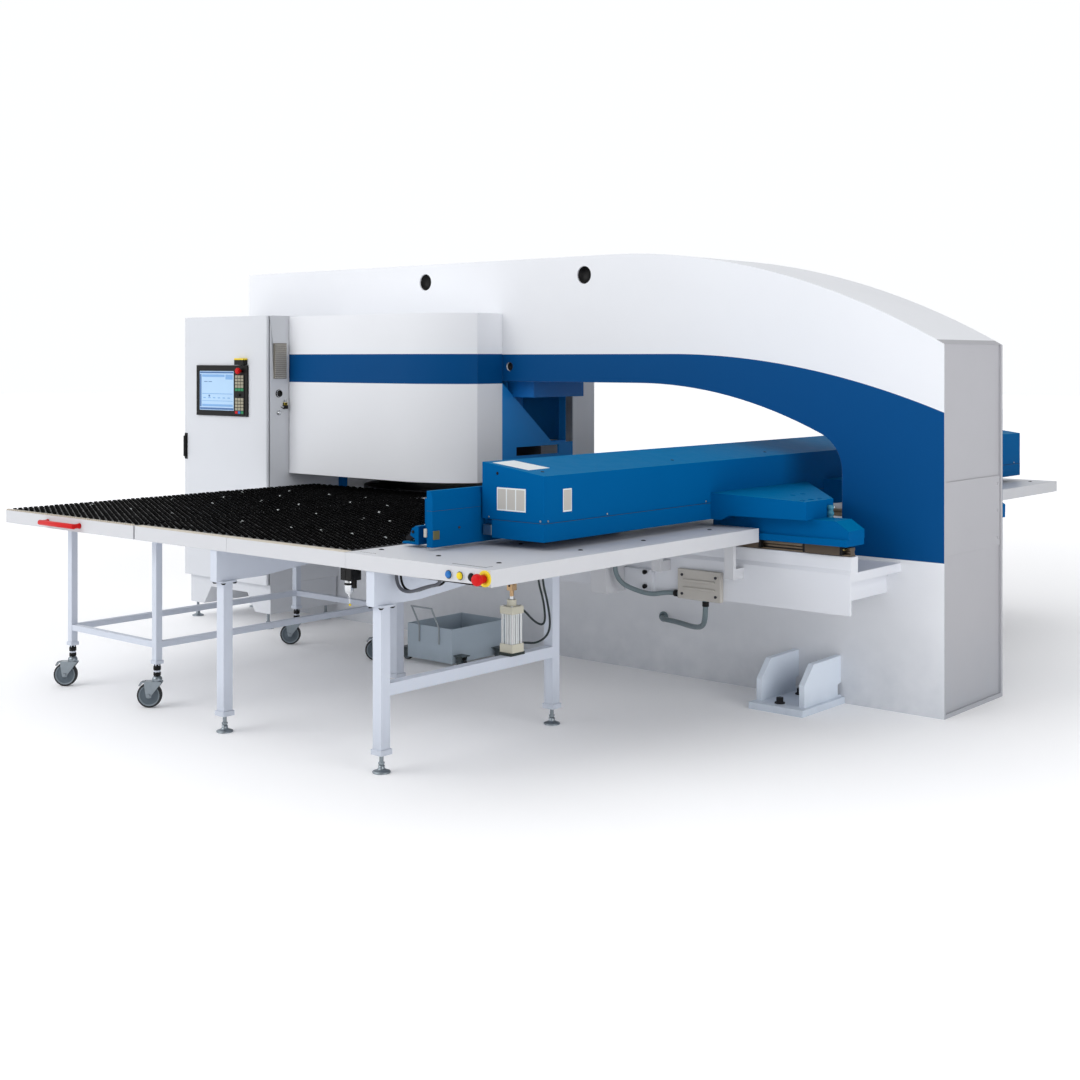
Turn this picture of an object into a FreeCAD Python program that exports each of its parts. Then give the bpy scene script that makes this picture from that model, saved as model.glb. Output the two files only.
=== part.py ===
import FreeCAD, Part
import math
import os

import Sketcher

# CNC turret punch press, bridge type, in millimetres.
# X runs along the length of the O-frame, towards its open end.
# Y runs along the carriage beam, and the operator stands on the -Y side.
# Z is up, and the floor is Z = 0.  The origin is under the middle of the frame.

os.makedirs("parts", exist_ok=True)
doc = FreeCAD.newDocument("turret_punch_press")

# ---------------------------------------------------------------- driving sizes
SIZES = {
    # O-frame
    "frame_length": 5120,
    "frame_thickness": 650,
    "frame_height": 2256,
    "frame_end_height": 1750,
    "crown_start": 592,
    "window_right": 2025,
    "window_top": 1550,
    "window_bottom": 727,
    "arch_start": 797,
    "arch_radius": 2706,
    "arch_corner": 200,
    "bay_left": -1560,
    "bay_right": -345,
    "bay_bottom": 560,
    "lift_hole_drop": 106,
    "lift_hole_radius": 50,
    "small_hole_radius": 26,
    "side_plate": 20,
    "end_recess": 12,
    "end_panel_bottom": 755,
    "end_panel_top": 1102,
    "anchor_reach": 398,
    # turrets
    "turret_centre": -930,
    "turret_radius": 560,
    "station_pitch": 500,
    "station_radius": 38,
    "shaft_radius": 60,
    "upper_turret_bottom": 940,
    "upper_turret_top": 1145,
    "lower_turret_bottom": 715,
    "lower_turret_top": 893,
    "running_gap": 0.3,
    "shaft_clearance": 0.1,
    "ram_radius": 45,
    "ram_lift": 35,
    # turret covers and bay guard
    "cover_right": -213,
    "cover_left": -1638,
    "cover_bottom": 966,
    "cover_top": 1946,
    "cover_front": 740,
    "cover_cheek": 538,
    "cover_bend": -640,
    "shroud_radius": 300,
    "sheet": 4,
    # rail castings
    "casting_left": 280,
    "casting_right": 2340,
    "rail_line": 770,
    "rail_width": 45,
    "rail_height": 40,
    "head_top": 785,
    "head_width": 62,
    "flange_top": 712,
    "flange_bottom": 670,
    "fascia_bottom": 520,
    "fascia_thickness": 15,
    # tables
    "table_top": 890,
    "skirt_bottom": 825,
    "cabinet_wall": 5,
    "table_near": 2716,
    "table_far_edge": 2690,
    "table_gap": 868,
    "plate_right": 1894,
    "plate_left": 1085,
    "middle_joint": 305,
    "cart_right": -406,
    "cart_gap": 12,
    "cart_left": -1550,
    "joint_gap": 0.4,
    "brush_height": 10,
    "centre_half": 672,
    # legs
    "leg_tube": 50,
    "right_leg_x": 1225,
    "left_leg_x": 200,
    "front_leg_y": 2645,
    "back_leg_y": 1574,
    "corbel_depth": 142,
    "corbel_width": 46,
    "corbel_front": 2707,
    "foot_height": 75,
    "crossbar_top": 362,
    # auxiliary table on casters
    "cart_tube": 35,
    "cart_leg_left": -1165,
    "cart_leg_right": -432,
    "cart_leg_front": 2563,
    "cart_leg_back": 1078,
    "cart_leg_bottom": 212,
    "cart_bar_top": 318,
    "fork_clearance": 32,
    "wheel_radius": 60,
    "wheel_width": 32,
    "caster_trail": 36,
    # control cabinet
    "cabinet_left": -2481,
    "cabinet_right": -1642,
    "cabinet_front": 914,
    "cabinet_bottom": 275,
    "cabinet_top": 1950,
    "door_thickness": 24,
    "plinth_foot": 95,
    # beam, saddles and carriage
    "beam_left": 1339,
    "beam_right": 1686,
    "beam_bottom": 925,
    "beam_seam": 1003,
    "beam_side_top": 1198,
    "beam_ridge_top": 1244,
    "beam_near": 2168,
    "beam_far": 2600,
    "beam_step": 55,
    "saddle_left": 1620,
    "saddle_right": 2350,
    "saddle_bottom": 835,
    "saddle_top": 947,
    "arm_right": 2165,
    "carriage_left": 1215,
    "carriage_right": 1330,
    "carriage_bottom": 903,
    "carriage_top": 1136,
    "carriage_near": 2457,
    "carriage_back": 1207,
    "clamp_reach": 95,
    # cylinder, buttons and scrap bin
    "cylinder_y": 1851,
    "cylinder_side": 76,
    "cylinder_top": 579,
    "rod_radius": 10,
    "button_radius": 14,
    "button_height": 856,
    "estop_x": 1864,
    "bin_left": -316,
    "bin_right": 26,
    "bin_near": 995,
    "bin_back": 560,
    "bin_bottom": 26,
    "bin_top": 214,
    "bin_wheel": 30,
}

sheet = doc.addObject("Spreadsheet::Sheet", "Sizes")
for row, (alias, number) in enumerate(SIZES.items(), start=1):
    sheet.set(f"A{row}", alias)
    sheet.set(f"B{row}", str(number))
    sheet.setAlias(f"B{row}", alias)
doc.recompute()


class Size:
    """A size worked out from the sheet: its number now, and the formula behind it."""

    def __init__(self, number, text):
        self.number = float(number)
        self.text = text

    def __add__(self, other):
        other = size(other)
        return Size(self.number + other.number, f"({self.text} + {other.text})")

    def __sub__(self, other):
        other = size(other)
        return Size(self.number - other.number, f"({self.text} - {other.text})")

    def __mul__(self, other):
        other = size(other)
        return Size(self.number * other.number, f"({self.text} * {other.text})")

    def __truediv__(self, other):
        other = size(other)
        return Size(self.number / other.number, f"({self.text} / {other.text})")

    def __radd__(self, other):
        return size(other) + self

    def __rsub__(self, other):
        return size(other) - self

    def __rmul__(self, other):
        return size(other) * self

    def __neg__(self):
        return Size(-self.number, f"(0 - {self.text})")

    def __float__(self):
        return self.number


def size(value):
    if isinstance(value, Size):
        return value
    return Size(value, f"({float(value)!r})")


class Named:
    """The sheet's sizes by name."""

    def __getattr__(self, alias):
        return Size(float(sheet.get(alias)), f"Sizes.{alias}")


S = Named()
NODES = []
X_AXIS = FreeCAD.Vector(1, 0, 0)
Y_AXIS = FreeCAD.Vector(0, 1, 0)
Z_AXIS = FreeCAD.Vector(0, 0, 1)
TURNS = {
    "X": FreeCAD.Rotation(Y_AXIS, 90),
    "Y": FreeCAD.Rotation(X_AXIS, -90),
    "Z": FreeCAD.Rotation(),
}


# ---------------------------------------------------------------- making tools
def bind(thing, prop, value):
    thing.setExpression(prop, size(value).text)


def place(thing, spot, turn=None):
    numbers = [float(size(value)) for value in spot]
    thing.Placement = FreeCAD.Placement(FreeCAD.Vector(*numbers), turn or FreeCAD.Rotation())
    for axis, value in zip("xyz", spot):
        bind(thing, f"Placement.Base.{axis}", value)


def block(name, x, y, z):
    """A box between two values on each axis."""
    solid = doc.addObject("Part::Box", name)
    for prop, (low, high) in zip(("Length", "Width", "Height"), (x, y, z)):
        bind(solid, prop, size(high) - low)
    place(solid, (x[0], y[0], z[0]))
    return solid


def rod(name, spot, radius, length, axis="Z"):
    """A cylinder that starts at a spot and runs along an axis."""
    solid = doc.addObject("Part::Cylinder", name)
    bind(solid, "Radius", radius)
    bind(solid, "Height", length)
    place(solid, spot, TURNS[axis])
    return solid


def bar(name, spot, radius, length, axis="Z", sides=12):
    """A many-sided bar: a nut, a screw head, a post, or the hole for one."""
    solid = doc.addObject("Part::Prism", name)
    solid.Polygon = sides
    bind(solid, "Circumradius", radius)
    bind(solid, "Height", length)
    place(solid, spot, TURNS[axis])
    return solid


def joined(name, solids):
    solid = doc.addObject("Part::MultiFuse", name)
    solid.Shapes = solids
    solid.Refine = True
    return solid


def grouped(name, solids):
    solid = doc.addObject("Part::Compound", name)
    solid.Links = solids
    return solid


def cut(name, base, tools):
    tool = tools[0] if len(tools) == 1 else grouped(name + "_tools", tools)
    solid = doc.addObject("Part::Cut", name)
    solid.Base = base
    solid.Tool = tool
    return solid


def common(name, first, second):
    solid = doc.addObject("Part::Common", name)
    solid.Base = first
    solid.Tool = second
    return solid


def keep(node, solid):
    """The finished sub-part: its label is the name of its file."""
    solid.Label = node
    NODES.append(solid)
    return solid


def new_sketch(body, name, role):
    sketch = body.newObject("Sketcher::SketchObject", name)
    plane = [item for item in body.Origin.OriginFeatures if item.Role == role][0]
    sketch.AttachmentSupport = (plane, [""])
    sketch.MapMode = "FlatFace"
    return sketch


def hold_point(sketch, geometry, position, point):
    """Tie a sketch point to the origin with its two distances."""
    for kind, value in zip(("DistanceX", "DistanceY"), point):
        index = sketch.addConstraint(
            Sketcher.Constraint(kind, -1, 1, geometry, position, float(size(value)))
        )
        sketch.setExpression(f"Constraints[{index}]", size(value).text)


def draw_polygon(sketch, points):
    """A closed outline of straight lines through points of two sizes each."""
    corners = [FreeCAD.Vector(float(size(u)), float(size(v)), 0) for u, v in points]
    first = sketch.GeometryCount
    count = len(corners)
    for step in range(count):
        sketch.addGeometry(Part.LineSegment(corners[step], corners[(step + 1) % count]))
    for step in range(count):
        follower = first + (step + 1) % count
        sketch.addConstraint(Sketcher.Constraint("Coincident", first + step, 2, follower, 1))
    for step, point in enumerate(points):
        hold_point(sketch, first + step, 1, point)
    return first


def draw_circle(sketch, centre, radius):
    spot = FreeCAD.Vector(float(size(centre[0])), float(size(centre[1])), 0)
    index = sketch.addGeometry(Part.Circle(spot, Z_AXIS, float(size(radius))))
    hold_point(sketch, index, 3, centre)
    rule = sketch.addConstraint(Sketcher.Constraint("Radius", index, float(size(radius))))
    sketch.setExpression(f"Constraints[{rule}]", size(radius).text)


ROLES = {"X": "YZ_Plane", "Y": "XZ_Plane", "Z": "XY_Plane"}


def padded(name, axis, low, high, draw):
    """A body whose drawn profile runs along an axis from low to high."""
    body = doc.addObject("PartDesign::Body", name)
    sketch = new_sketch(body, name + "_profile", ROLES[axis])
    draw(sketch)
    doc.recompute()
    pad = body.newObject("PartDesign::Pad", name + "_pad")
    pad.Profile = sketch
    bind(pad, "Length", size(high) - low)
    start = size(high) if axis == "Y" else size(low)
    place(body, [start if axis == letter else 0 for letter in "XYZ"])
    doc.recompute()
    return body


def prism(name, axis, low, high, points):
    return padded(name, axis, low, high, lambda sketch: draw_polygon(sketch, points))


def tube_route(name, route, radius, sides):
    """A hose or conduit of flat sides, along straight runs and bends of short chords."""
    corners = [FreeCAD.Vector(*[float(size(value)) for value in point]) for point in route]
    line = [corners[0]]
    for before, corner, after in zip(corners, corners[1:], corners[2:]):
        back = (before - corner).normalize()
        ahead = (after - corner).normalize()
        half_turn = (math.pi - back.getAngle(ahead)) / 2
        trim = 0.45 * min((before - corner).Length, (after - corner).Length)
        bend = trim / math.tan(half_turn)
        inward = (back + ahead).normalize()
        reach = bend / math.cos(half_turn) - bend
        arc = Part.Arc(corner + back * trim, corner + inward * reach, corner + ahead * trim)
        line += arc.discretize(Number=3 + int(half_turn / 0.4))
    line.append(corners[-1])
    path = Part.makePolygon(line)
    reach = float(size(radius))
    turn = FreeCAD.Rotation(Z_AXIS, corners[1] - corners[0])
    rim = []
    for step in range(sides + 1):
        angle = 2 * math.pi * step / sides
        spoke = FreeCAD.Vector(reach * math.cos(angle), reach * math.sin(angle), 0)
        rim.append(corners[0] + turn.multVec(spoke))
    hose = doc.addObject("Part::Feature", name)
    hose.Shape = path.makePipeShell([Part.makePolygon(rim)], True, False, 1)
    share = sides / 2 * math.sin(2 * math.pi / sides)
    ideal = share * reach ** 2 * path.Length
    print(f"{name}: length {path.Length:.0f}, volume ratio {hose.Shape.Volume / ideal:.3f}")
    return hose


def mirrored(points, side):
    """Points of a profile with their first value on the near (-1) or far (1) side."""
    return [(size(u) * side, v) for u, v in points]


def span(first, second, side):
    """A range of Y between two distances from the middle, on one side."""
    low, high = (first, second) if side > 0 else (second, first)
    return size(low) * side, size(high) * side


# ---------------------------------------------------------------- O-frame
def draw_frame(sketch):
    """The frame's outline with its falling crown, its window and its holes."""
    half = S.frame_length / 2
    corners = [
        (-half, size(0)), (half, size(0)), (half, S.frame_end_height),
        (S.crown_start, S.frame_height), (-half, S.frame_height),
    ]
    spots = [FreeCAD.Vector(float(u), float(v), 0) for u, v in corners]
    lines = [
        Part.LineSegment(spots[0], spots[1]),
        Part.LineSegment(spots[1], spots[2]),
        Part.LineSegment(spots[3], spots[4]),
        Part.LineSegment(spots[4], spots[0]),
    ]
    drop = float(S.frame_height - S.frame_end_height)
    run = float(half - S.crown_start)
    radius = (drop ** 2 + run ** 2) / (2 * drop)
    centre = FreeCAD.Vector(spots[3].x, spots[3].y - radius, 0)
    fall = math.asin(run / radius)
    crown = Part.ArcOfCircle(
        Part.Circle(centre, Z_AXIS, radius), math.pi / 2 - fall, math.pi / 2
    )
    bottom, end, top, back = [sketch.addGeometry(line) for line in lines]
    arc = sketch.addGeometry(crown)
    for first, first_end, second, second_end in (
        (bottom, 2, end, 1), (end, 2, arc, 1), (top, 2, back, 1), (back, 2, bottom, 1),
    ):
        rule = Sketcher.Constraint("Coincident", first, first_end, second, second_end)
        sketch.addConstraint(rule)
    sketch.addConstraint(Sketcher.Constraint("Tangent", arc, 2, top, 1))
    hold_point(sketch, bottom, 1, corners[0])
    hold_point(sketch, end, 1, corners[1])
    hold_point(sketch, end, 2, corners[2])
    hold_point(sketch, top, 1, corners[3])
    hold_point(sketch, back, 1, corners[4])
    draw_window(sketch)
    draw_circle(sketch, (-849, S.frame_height - S.lift_hole_drop), S.lift_hole_radius)
    draw_circle(sketch, (403, S.frame_height - S.lift_hole_drop), S.lift_hole_radius)
    draw_circle(sketch, (-156, S.window_top + 86), S.small_hole_radius)


def draw_window(sketch):
    """The throat: flat over the turrets, then a long arch and a round corner."""
    big = float(S.arch_radius)
    small = float(S.arch_corner)
    top = float(S.window_top)
    big_centre = FreeCAD.Vector(float(S.arch_start), top - big, 0)
    small_x = float(S.window_right) - small
    rise = math.sqrt((big - small) ** 2 - (small_x - big_centre.x) ** 2)
    small_centre = FreeCAD.Vector(small_x, big_centre.y + rise, 0)
    lean = math.atan2(rise, small_x - big_centre.x)
    arch = Part.ArcOfCircle(Part.Circle(big_centre, Z_AXIS, big), lean, math.pi / 2)
    corner = Part.ArcOfCircle(Part.Circle(small_centre, Z_AXIS, small), 0, lean)
    points = [
        (S.window_right, S.window_bottom), (S.bay_right, S.window_bottom),
        (S.bay_right, S.bay_bottom), (S.bay_left, S.bay_bottom),
        (S.bay_left, S.window_top), (S.arch_start, S.window_top),
    ]
    spots = [FreeCAD.Vector(float(u), float(v), 0) for u, v in points]
    jamb_top = FreeCAD.Vector(float(S.window_right), small_centre.y, 0)
    jamb = sketch.addGeometry(Part.LineSegment(jamb_top, spots[0]))
    chain = [jamb]
    for start, end in zip(spots, spots[1:]):
        chain.append(sketch.addGeometry(Part.LineSegment(start, end)))
    arch = sketch.addGeometry(arch)
    corner = sketch.addGeometry(corner)
    for first, second in zip(chain, chain[1:]):
        sketch.addConstraint(Sketcher.Constraint("Coincident", first, 2, second, 1))
    for line, point in zip(chain, points):
        hold_point(sketch, line, 2, point)
    sketch.addConstraint(Sketcher.Constraint("Vertical", jamb))
    sketch.addConstraint(Sketcher.Constraint("Tangent", chain[-1], 2, arch, 2))
    sketch.addConstraint(Sketcher.Constraint("Tangent", arch, 1, corner, 2))
    sketch.addConstraint(Sketcher.Constraint("Tangent", corner, 1, jamb, 1))
    for arc, value in ((arch, S.arch_radius), (corner, S.arch_corner)):
        rule = sketch.addConstraint(Sketcher.Constraint("Radius", arc, float(value)))
        sketch.setExpression(f"Constraints[{rule}]", value.text)


def make_frame():
    half = S.frame_thickness / 2
    end = S.frame_length / 2
    shell = padded("frame_shell", "Y", -half, half, draw_frame)
    inner = half - S.side_plate
    recess = block("frame_recess", (end - S.end_recess, end + 1), (-inner, inner),
                   (S.side_plate, S.frame_end_height + 1))
    left_recess = block("frame_left_recess", (-end - 1, S.end_recess - end), (-inner, inner),
                        (S.side_plate, S.frame_height - S.side_plate))
    body = cut("frame_body", shell, [recess, left_recess])
    upper_boss = S.upper_turret_top + S.running_gap
    lower_boss = S.lower_turret_bottom - S.running_gap
    bosses = [
        bar("upper_boss", (S.turret_centre, 0, upper_boss), 165, S.window_top - upper_boss + 1),
        rod("upper_shaft", (S.turret_centre, 0, S.upper_turret_bottom + 20),
            S.shaft_radius, upper_boss - S.upper_turret_bottom),
        bar("lower_boss", (S.turret_centre, 0, S.bay_bottom - 1), 200,
            lower_boss - S.bay_bottom + 1),
        rod("lower_shaft", (S.turret_centre, 0, lower_boss - 1), S.shaft_radius,
            S.lower_turret_top - lower_boss - 10),
    ]
    keep("o_frame", joined("o_frame_solid", [body] + bosses))


def make_end_panel():
    """The removable panel of the end face, on the recessed end plate."""
    face = S.frame_length / 2 - S.end_recess
    inner = S.frame_thickness / 2 - S.side_plate - 1
    plate = block("end_plate", (face, face + 6), (-inner, inner),
                  (S.end_panel_bottom, S.end_panel_top))
    middle = (S.end_panel_bottom + S.end_panel_top) / 2
    reach = (S.end_panel_top - S.end_panel_bottom) / 2 - 40
    heads = [
        bar(f"end_screw_{index}", (face + 5, inner - 22, middle + reach * index), 7, 4.5, "X", 8)
        for index in (-1, 0, 1)
    ]
    keep("end_panel", joined("end_panel_solid", [plate] + heads))


def anchor_foot(side, name):
    """A welded floor foot: a base plate and two gussets with chamfered fronts."""
    face = S.frame_thickness / 2
    front = face + S.anchor_reach
    base = block(f"{name}_base", (1742, 2042), span(face, front, side), (0, 33))
    gusset = [
        (face, 33), (front - 53, 33), (front - 53, 138), (front - 138, 226), (face, 232),
        (face, 100), (face + 30, 92), (face + 30, 42), (face, 42),
    ]
    plates = [
        prism(f"{name}_gusset_{index}", "X", start, start + 30, mirrored(gusset, side))
        for index, start in enumerate((1754, 1990))
    ]
    return joined(f"{name}_solid", [base] + plates)


def make_anchors():
    """The two floor feet by the open end, and their anchor bolts."""
    keep("anchor_feet", grouped("anchor_foot_pair", [
        anchor_foot(-1, "near_foot"), anchor_foot(1, "far_foot")]))
    front = S.frame_thickness / 2 + S.anchor_reach
    bolts = []
    for side in (-1, 1):
        for index, (x, back) in enumerate(((1876, 68), (1850, 300))):
            name = f"anchor_bolt_{index}_{'near' if side < 0 else 'far'}"
            spot = (x, (front - back) * side, 33)
            washer = bar(f"{name}_washer", spot, 26, 6, "Z", 8)
            nut = bar(f"{name}_nut", spot, 19, 29, "Z", 6)
            bolts.append(joined(name, [washer, nut]))
    keep("anchor_bolts", grouped("anchor_bolt_set", bolts))


# ---------------------------------------------------------------- turret bay
def draw_cover(sketch, side, inset):
    """A cover's plan: cheek, a curved shoulder and the long flat front."""
    right = S.cover_right - inset
    left = S.cover_left + inset
    front = (S.cover_front - inset) * side
    cheek = S.cover_cheek * side
    wall = (S.frame_thickness / 2 - (1 if float(size(inset)) > 0 else 0)) * side
    points = [(right, wall), (right, cheek), (S.cover_bend, front), (left, front), (left, wall)]
    spots = [FreeCAD.Vector(float(u), float(v), 0) for u, v in points]
    run = spots[1] - spots[2]
    radius = (run.x ** 2 + run.y ** 2) / (2 * abs(run.y))
    centre = FreeCAD.Vector(spots[2].x, spots[2].y - side * radius, 0)
    angle = math.atan2(spots[1].y - centre.y, spots[1].x - centre.x)
    crest = side * math.pi / 2
    low, high = min(angle, crest), max(angle, crest)
    shoulder = sketch.addGeometry(
        Part.ArcOfCircle(Part.Circle(centre, Z_AXIS, radius), low, high)
    )
    cheek_end, front_end = (1, 2) if angle < crest else (2, 1)
    cheek_line = sketch.addGeometry(Part.LineSegment(spots[0], spots[1]))
    front_line = sketch.addGeometry(Part.LineSegment(spots[2], spots[3]))
    left_line = sketch.addGeometry(Part.LineSegment(spots[3], spots[4]))
    back_line = sketch.addGeometry(Part.LineSegment(spots[4], spots[0]))
    for first, first_end, second, second_end in (
        (cheek_line, 2, shoulder, cheek_end), (front_line, 2, left_line, 1),
        (left_line, 2, back_line, 1), (back_line, 2, cheek_line, 1),
    ):
        rule = Sketcher.Constraint("Coincident", first, first_end, second, second_end)
        sketch.addConstraint(rule)
    sketch.addConstraint(Sketcher.Constraint("Tangent", shoulder, front_end, front_line, 1))
    hold_point(sketch, cheek_line, 1, points[0])
    hold_point(sketch, cheek_line, 2, points[1])
    hold_point(sketch, front_line, 1, points[2])
    hold_point(sketch, front_line, 2, points[3])
    hold_point(sketch, left_line, 2, points[4])


def make_cover(side, node):
    """A folded sheet cover over the turrets, open to the frame and below."""
    outer = padded(f"{node}_outer", "Z", S.cover_bottom, S.cover_top,
                   lambda sketch: draw_cover(sketch, side, 0))
    inner = padded(f"{node}_inner", "Z", S.cover_bottom - 1, S.cover_top - S.sheet,
                   lambda sketch: draw_cover(sketch, side, S.sheet))
    keep(node, cut(f"{node}_shell", outer, [inner]))


def make_bay_panel():
    """The guard beside the punching place: a raked cheek, a low web and a round shroud."""
    wall = S.frame_thickness / 2
    face = S.cover_right
    low = S.cover_bottom - 28
    web_top = S.window_top - 378
    cheek = [
        (-wall, low), (wall, low), (wall, web_top), (130, web_top),
        (-wall, S.window_top - 10),
    ]
    plate = prism("bay_cheek", "X", face - 12, face, cheek)
    slot = block("bay_slot", (face - 13, face + 1), (-200, 190), (web_top - 67, web_top - 15))
    notch = block("bay_notch", (face - 13, face + 1), (-230.5, 230.5),
                  (S.window_top - 95.5, S.window_top))
    panel = cut("bay_cheek_cut", plate, [slot, notch])
    middle = face - 187
    low, high = web_top + 8, S.window_top - 5
    outer = bar("shroud_outer", (middle, 0, low), S.shroud_radius, high - low, "Z", 24)
    inner = bar("shroud_inner", (middle, 0, low - 1), S.shroud_radius - 4, high - low + 2, "Z", 24)
    mouth = block("shroud_mouth", (middle + 130, middle + 320), (-310, 310), (low - 1, high + 1))
    curve = cut("shroud_curve", outer, [inner, mouth])
    lip = S.shroud_radius - 34
    wings = [
        block(f"shroud_wing_{side + 1}", (middle + 128, face - 11), span(lip, lip + 4, side),
              (low, high))
        for side in (-1, 1)
    ]
    sill = block("shroud_sill", (middle + 120, face - 11), (-lip - 4, lip + 4),
                 (web_top - 4, low + 0.5))
    keep("bay_panel", joined("bay_panel_solid", [panel, curve, sill] + wings))


def make_ram():
    """The ram's head block under the frame, its sleeve, and the sliding ram."""
    punch = S.turret_centre + S.station_pitch
    top = S.window_top
    head = block("ram_block", (punch - 60, -50), (-230, 230), (top - 95, top))
    sleeve = bar("ram_sleeve", (punch, 0, top - 190), S.ram_radius + 25, 100)
    bore = bar("ram_bore", (punch, 0, top - 200), S.ram_radius + S.shaft_clearance, 170, "Z", 16)
    keep("ram_housing", cut("ram_housing_bored", joined("ram_head", [head, sleeve]), [bore]))
    foot = S.upper_turret_top + 8 + S.ram_lift
    keep("punch_ram", bar("punch_ram_body", (punch, 0, foot), S.ram_radius, top - 75 - foot, "Z", 16))


STATIONS = 8
BUTTONS = {"button_blue": 186, "button_yellow": 126, "button_black": 66}


def station_spots():
    """The tool stations' places on the turrets' pitch circle."""
    for index in range(STATIONS):
        angle = 2 * math.pi * index / STATIONS
        yield index, (
            S.turret_centre + S.station_pitch * math.cos(angle),
            S.station_pitch * math.sin(angle),
        )


def make_turret(node, low, high, depth):
    """A turret disc on its shaft's bore, with a seat for each tool."""
    bore = S.shaft_radius + S.shaft_clearance
    disc = bar(f"{node}_disc", (S.turret_centre, 0, low), S.turret_radius, high - low, "Z", 36)
    holes = [
        bar(f"{node}_seat_{index}", (x, y, high - depth), S.station_radius, depth + 1, "Z", 8)
        for index, (x, y) in station_spots()
    ]
    holes.append(rod(f"{node}_bore", (S.turret_centre, 0, low - 1), bore, high - low + 2))
    keep(node, cut(f"{node}_seated", disc, holes))


def make_turrets():
    upper, lower = S.upper_turret_top, S.lower_turret_top
    deep = upper - S.upper_turret_bottom
    make_turret("upper_turret", S.upper_turret_bottom, upper, deep + 1)
    make_turret("lower_turret", S.lower_turret_bottom, lower, size(20))
    fit = S.station_radius - 0.5
    punches = [
        bar(f"punch_{index}", (x, y, S.upper_turret_bottom + 4), fit, deep + 1, "Z", 8)
        for index, (x, y) in station_spots()
    ]
    keep("punch_tools", grouped("punch_set", punches))


# ---------------------------------------------------------------- rail castings
def make_casting(side, node):
    """The long ledge that carries a beam rail: rail head, flange, fascia and ribs."""
    wall = S.frame_thickness / 2
    head_out = S.rail_line + S.head_width / 2
    head_in = S.rail_line - S.head_width / 2
    face = head_out + 12
    back = face - S.fascia_thickness
    section = [
        (head_out, S.head_top), (head_in, S.head_top), (head_in, S.flange_top),
        (wall, S.flange_top), (wall, S.flange_bottom), (back, S.flange_bottom),
        (back, S.fascia_bottom), (face, S.fascia_bottom), (face, S.flange_top - 6),
        (head_out, S.flange_top + 12),
    ]
    ledge = prism(f"{node}_ledge", "X", S.casting_left, S.casting_right, mirrored(section, side))
    ribs = []
    for index, start in enumerate((S.casting_left, S.casting_right - 95)):
        ribs.append(block(f"{node}_rib_{index}", (start, start + 22), span(wall, back, side),
                          (S.flange_bottom - 105, S.flange_bottom)))
    pieces = [ledge] + ribs
    if side < 0:
        pieces.append(block("cable_plate", (S.plate_left - 7, 1252), span(face - 1, face + 22, side),
                            (S.fascia_bottom, S.fascia_bottom + 112)))
        for index, height in enumerate((29, 100)):
            pieces.append(bar(f"cable_knob_{index}", (1213, -face - 29, S.fascia_bottom + height),
                              7, 10, "Y", 8))
    keep(node, joined(f"{node}_solid", pieces))


def make_rails():
    """Profiled linear rails with waisted sides, one on each casting."""
    half = S.rail_width / 2
    low = S.head_top
    rails = []
    for side in (-1, 1):
        line = S.rail_line
        section = [
            (line - half, low), (line + half, low), (line + half, low + 9),
            (line + half - 6, low + 15), (line + half - 6, low + 23), (line + half, low + 29),
            (line + half, low + S.rail_height), (line - half, low + S.rail_height),
            (line - half, low + 29), (line - half + 6, low + 23), (line - half + 6, low + 15),
            (line - half, low + 9),
        ]
        name = "rail_near" if side < 0 else "rail_far"
        rails.append(prism(name, "X", S.casting_left + 20, S.casting_right - 10,
                           mirrored(section, side)))
    keep("guide_rails", grouped("guide_rail_pair", rails))


# ---------------------------------------------------------------- tables
def panel(name, x, y):
    """A table top as deep as its skirt, closed below."""
    return block(f"{name}_panel", x, y, (S.skirt_bottom, S.table_top))


def brush_field(name, x, y):
    """A bed of bristles on a table top, as one pad as high as its tips."""
    return block(name, x, y, (S.table_top, S.table_top + S.brush_height))


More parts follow.
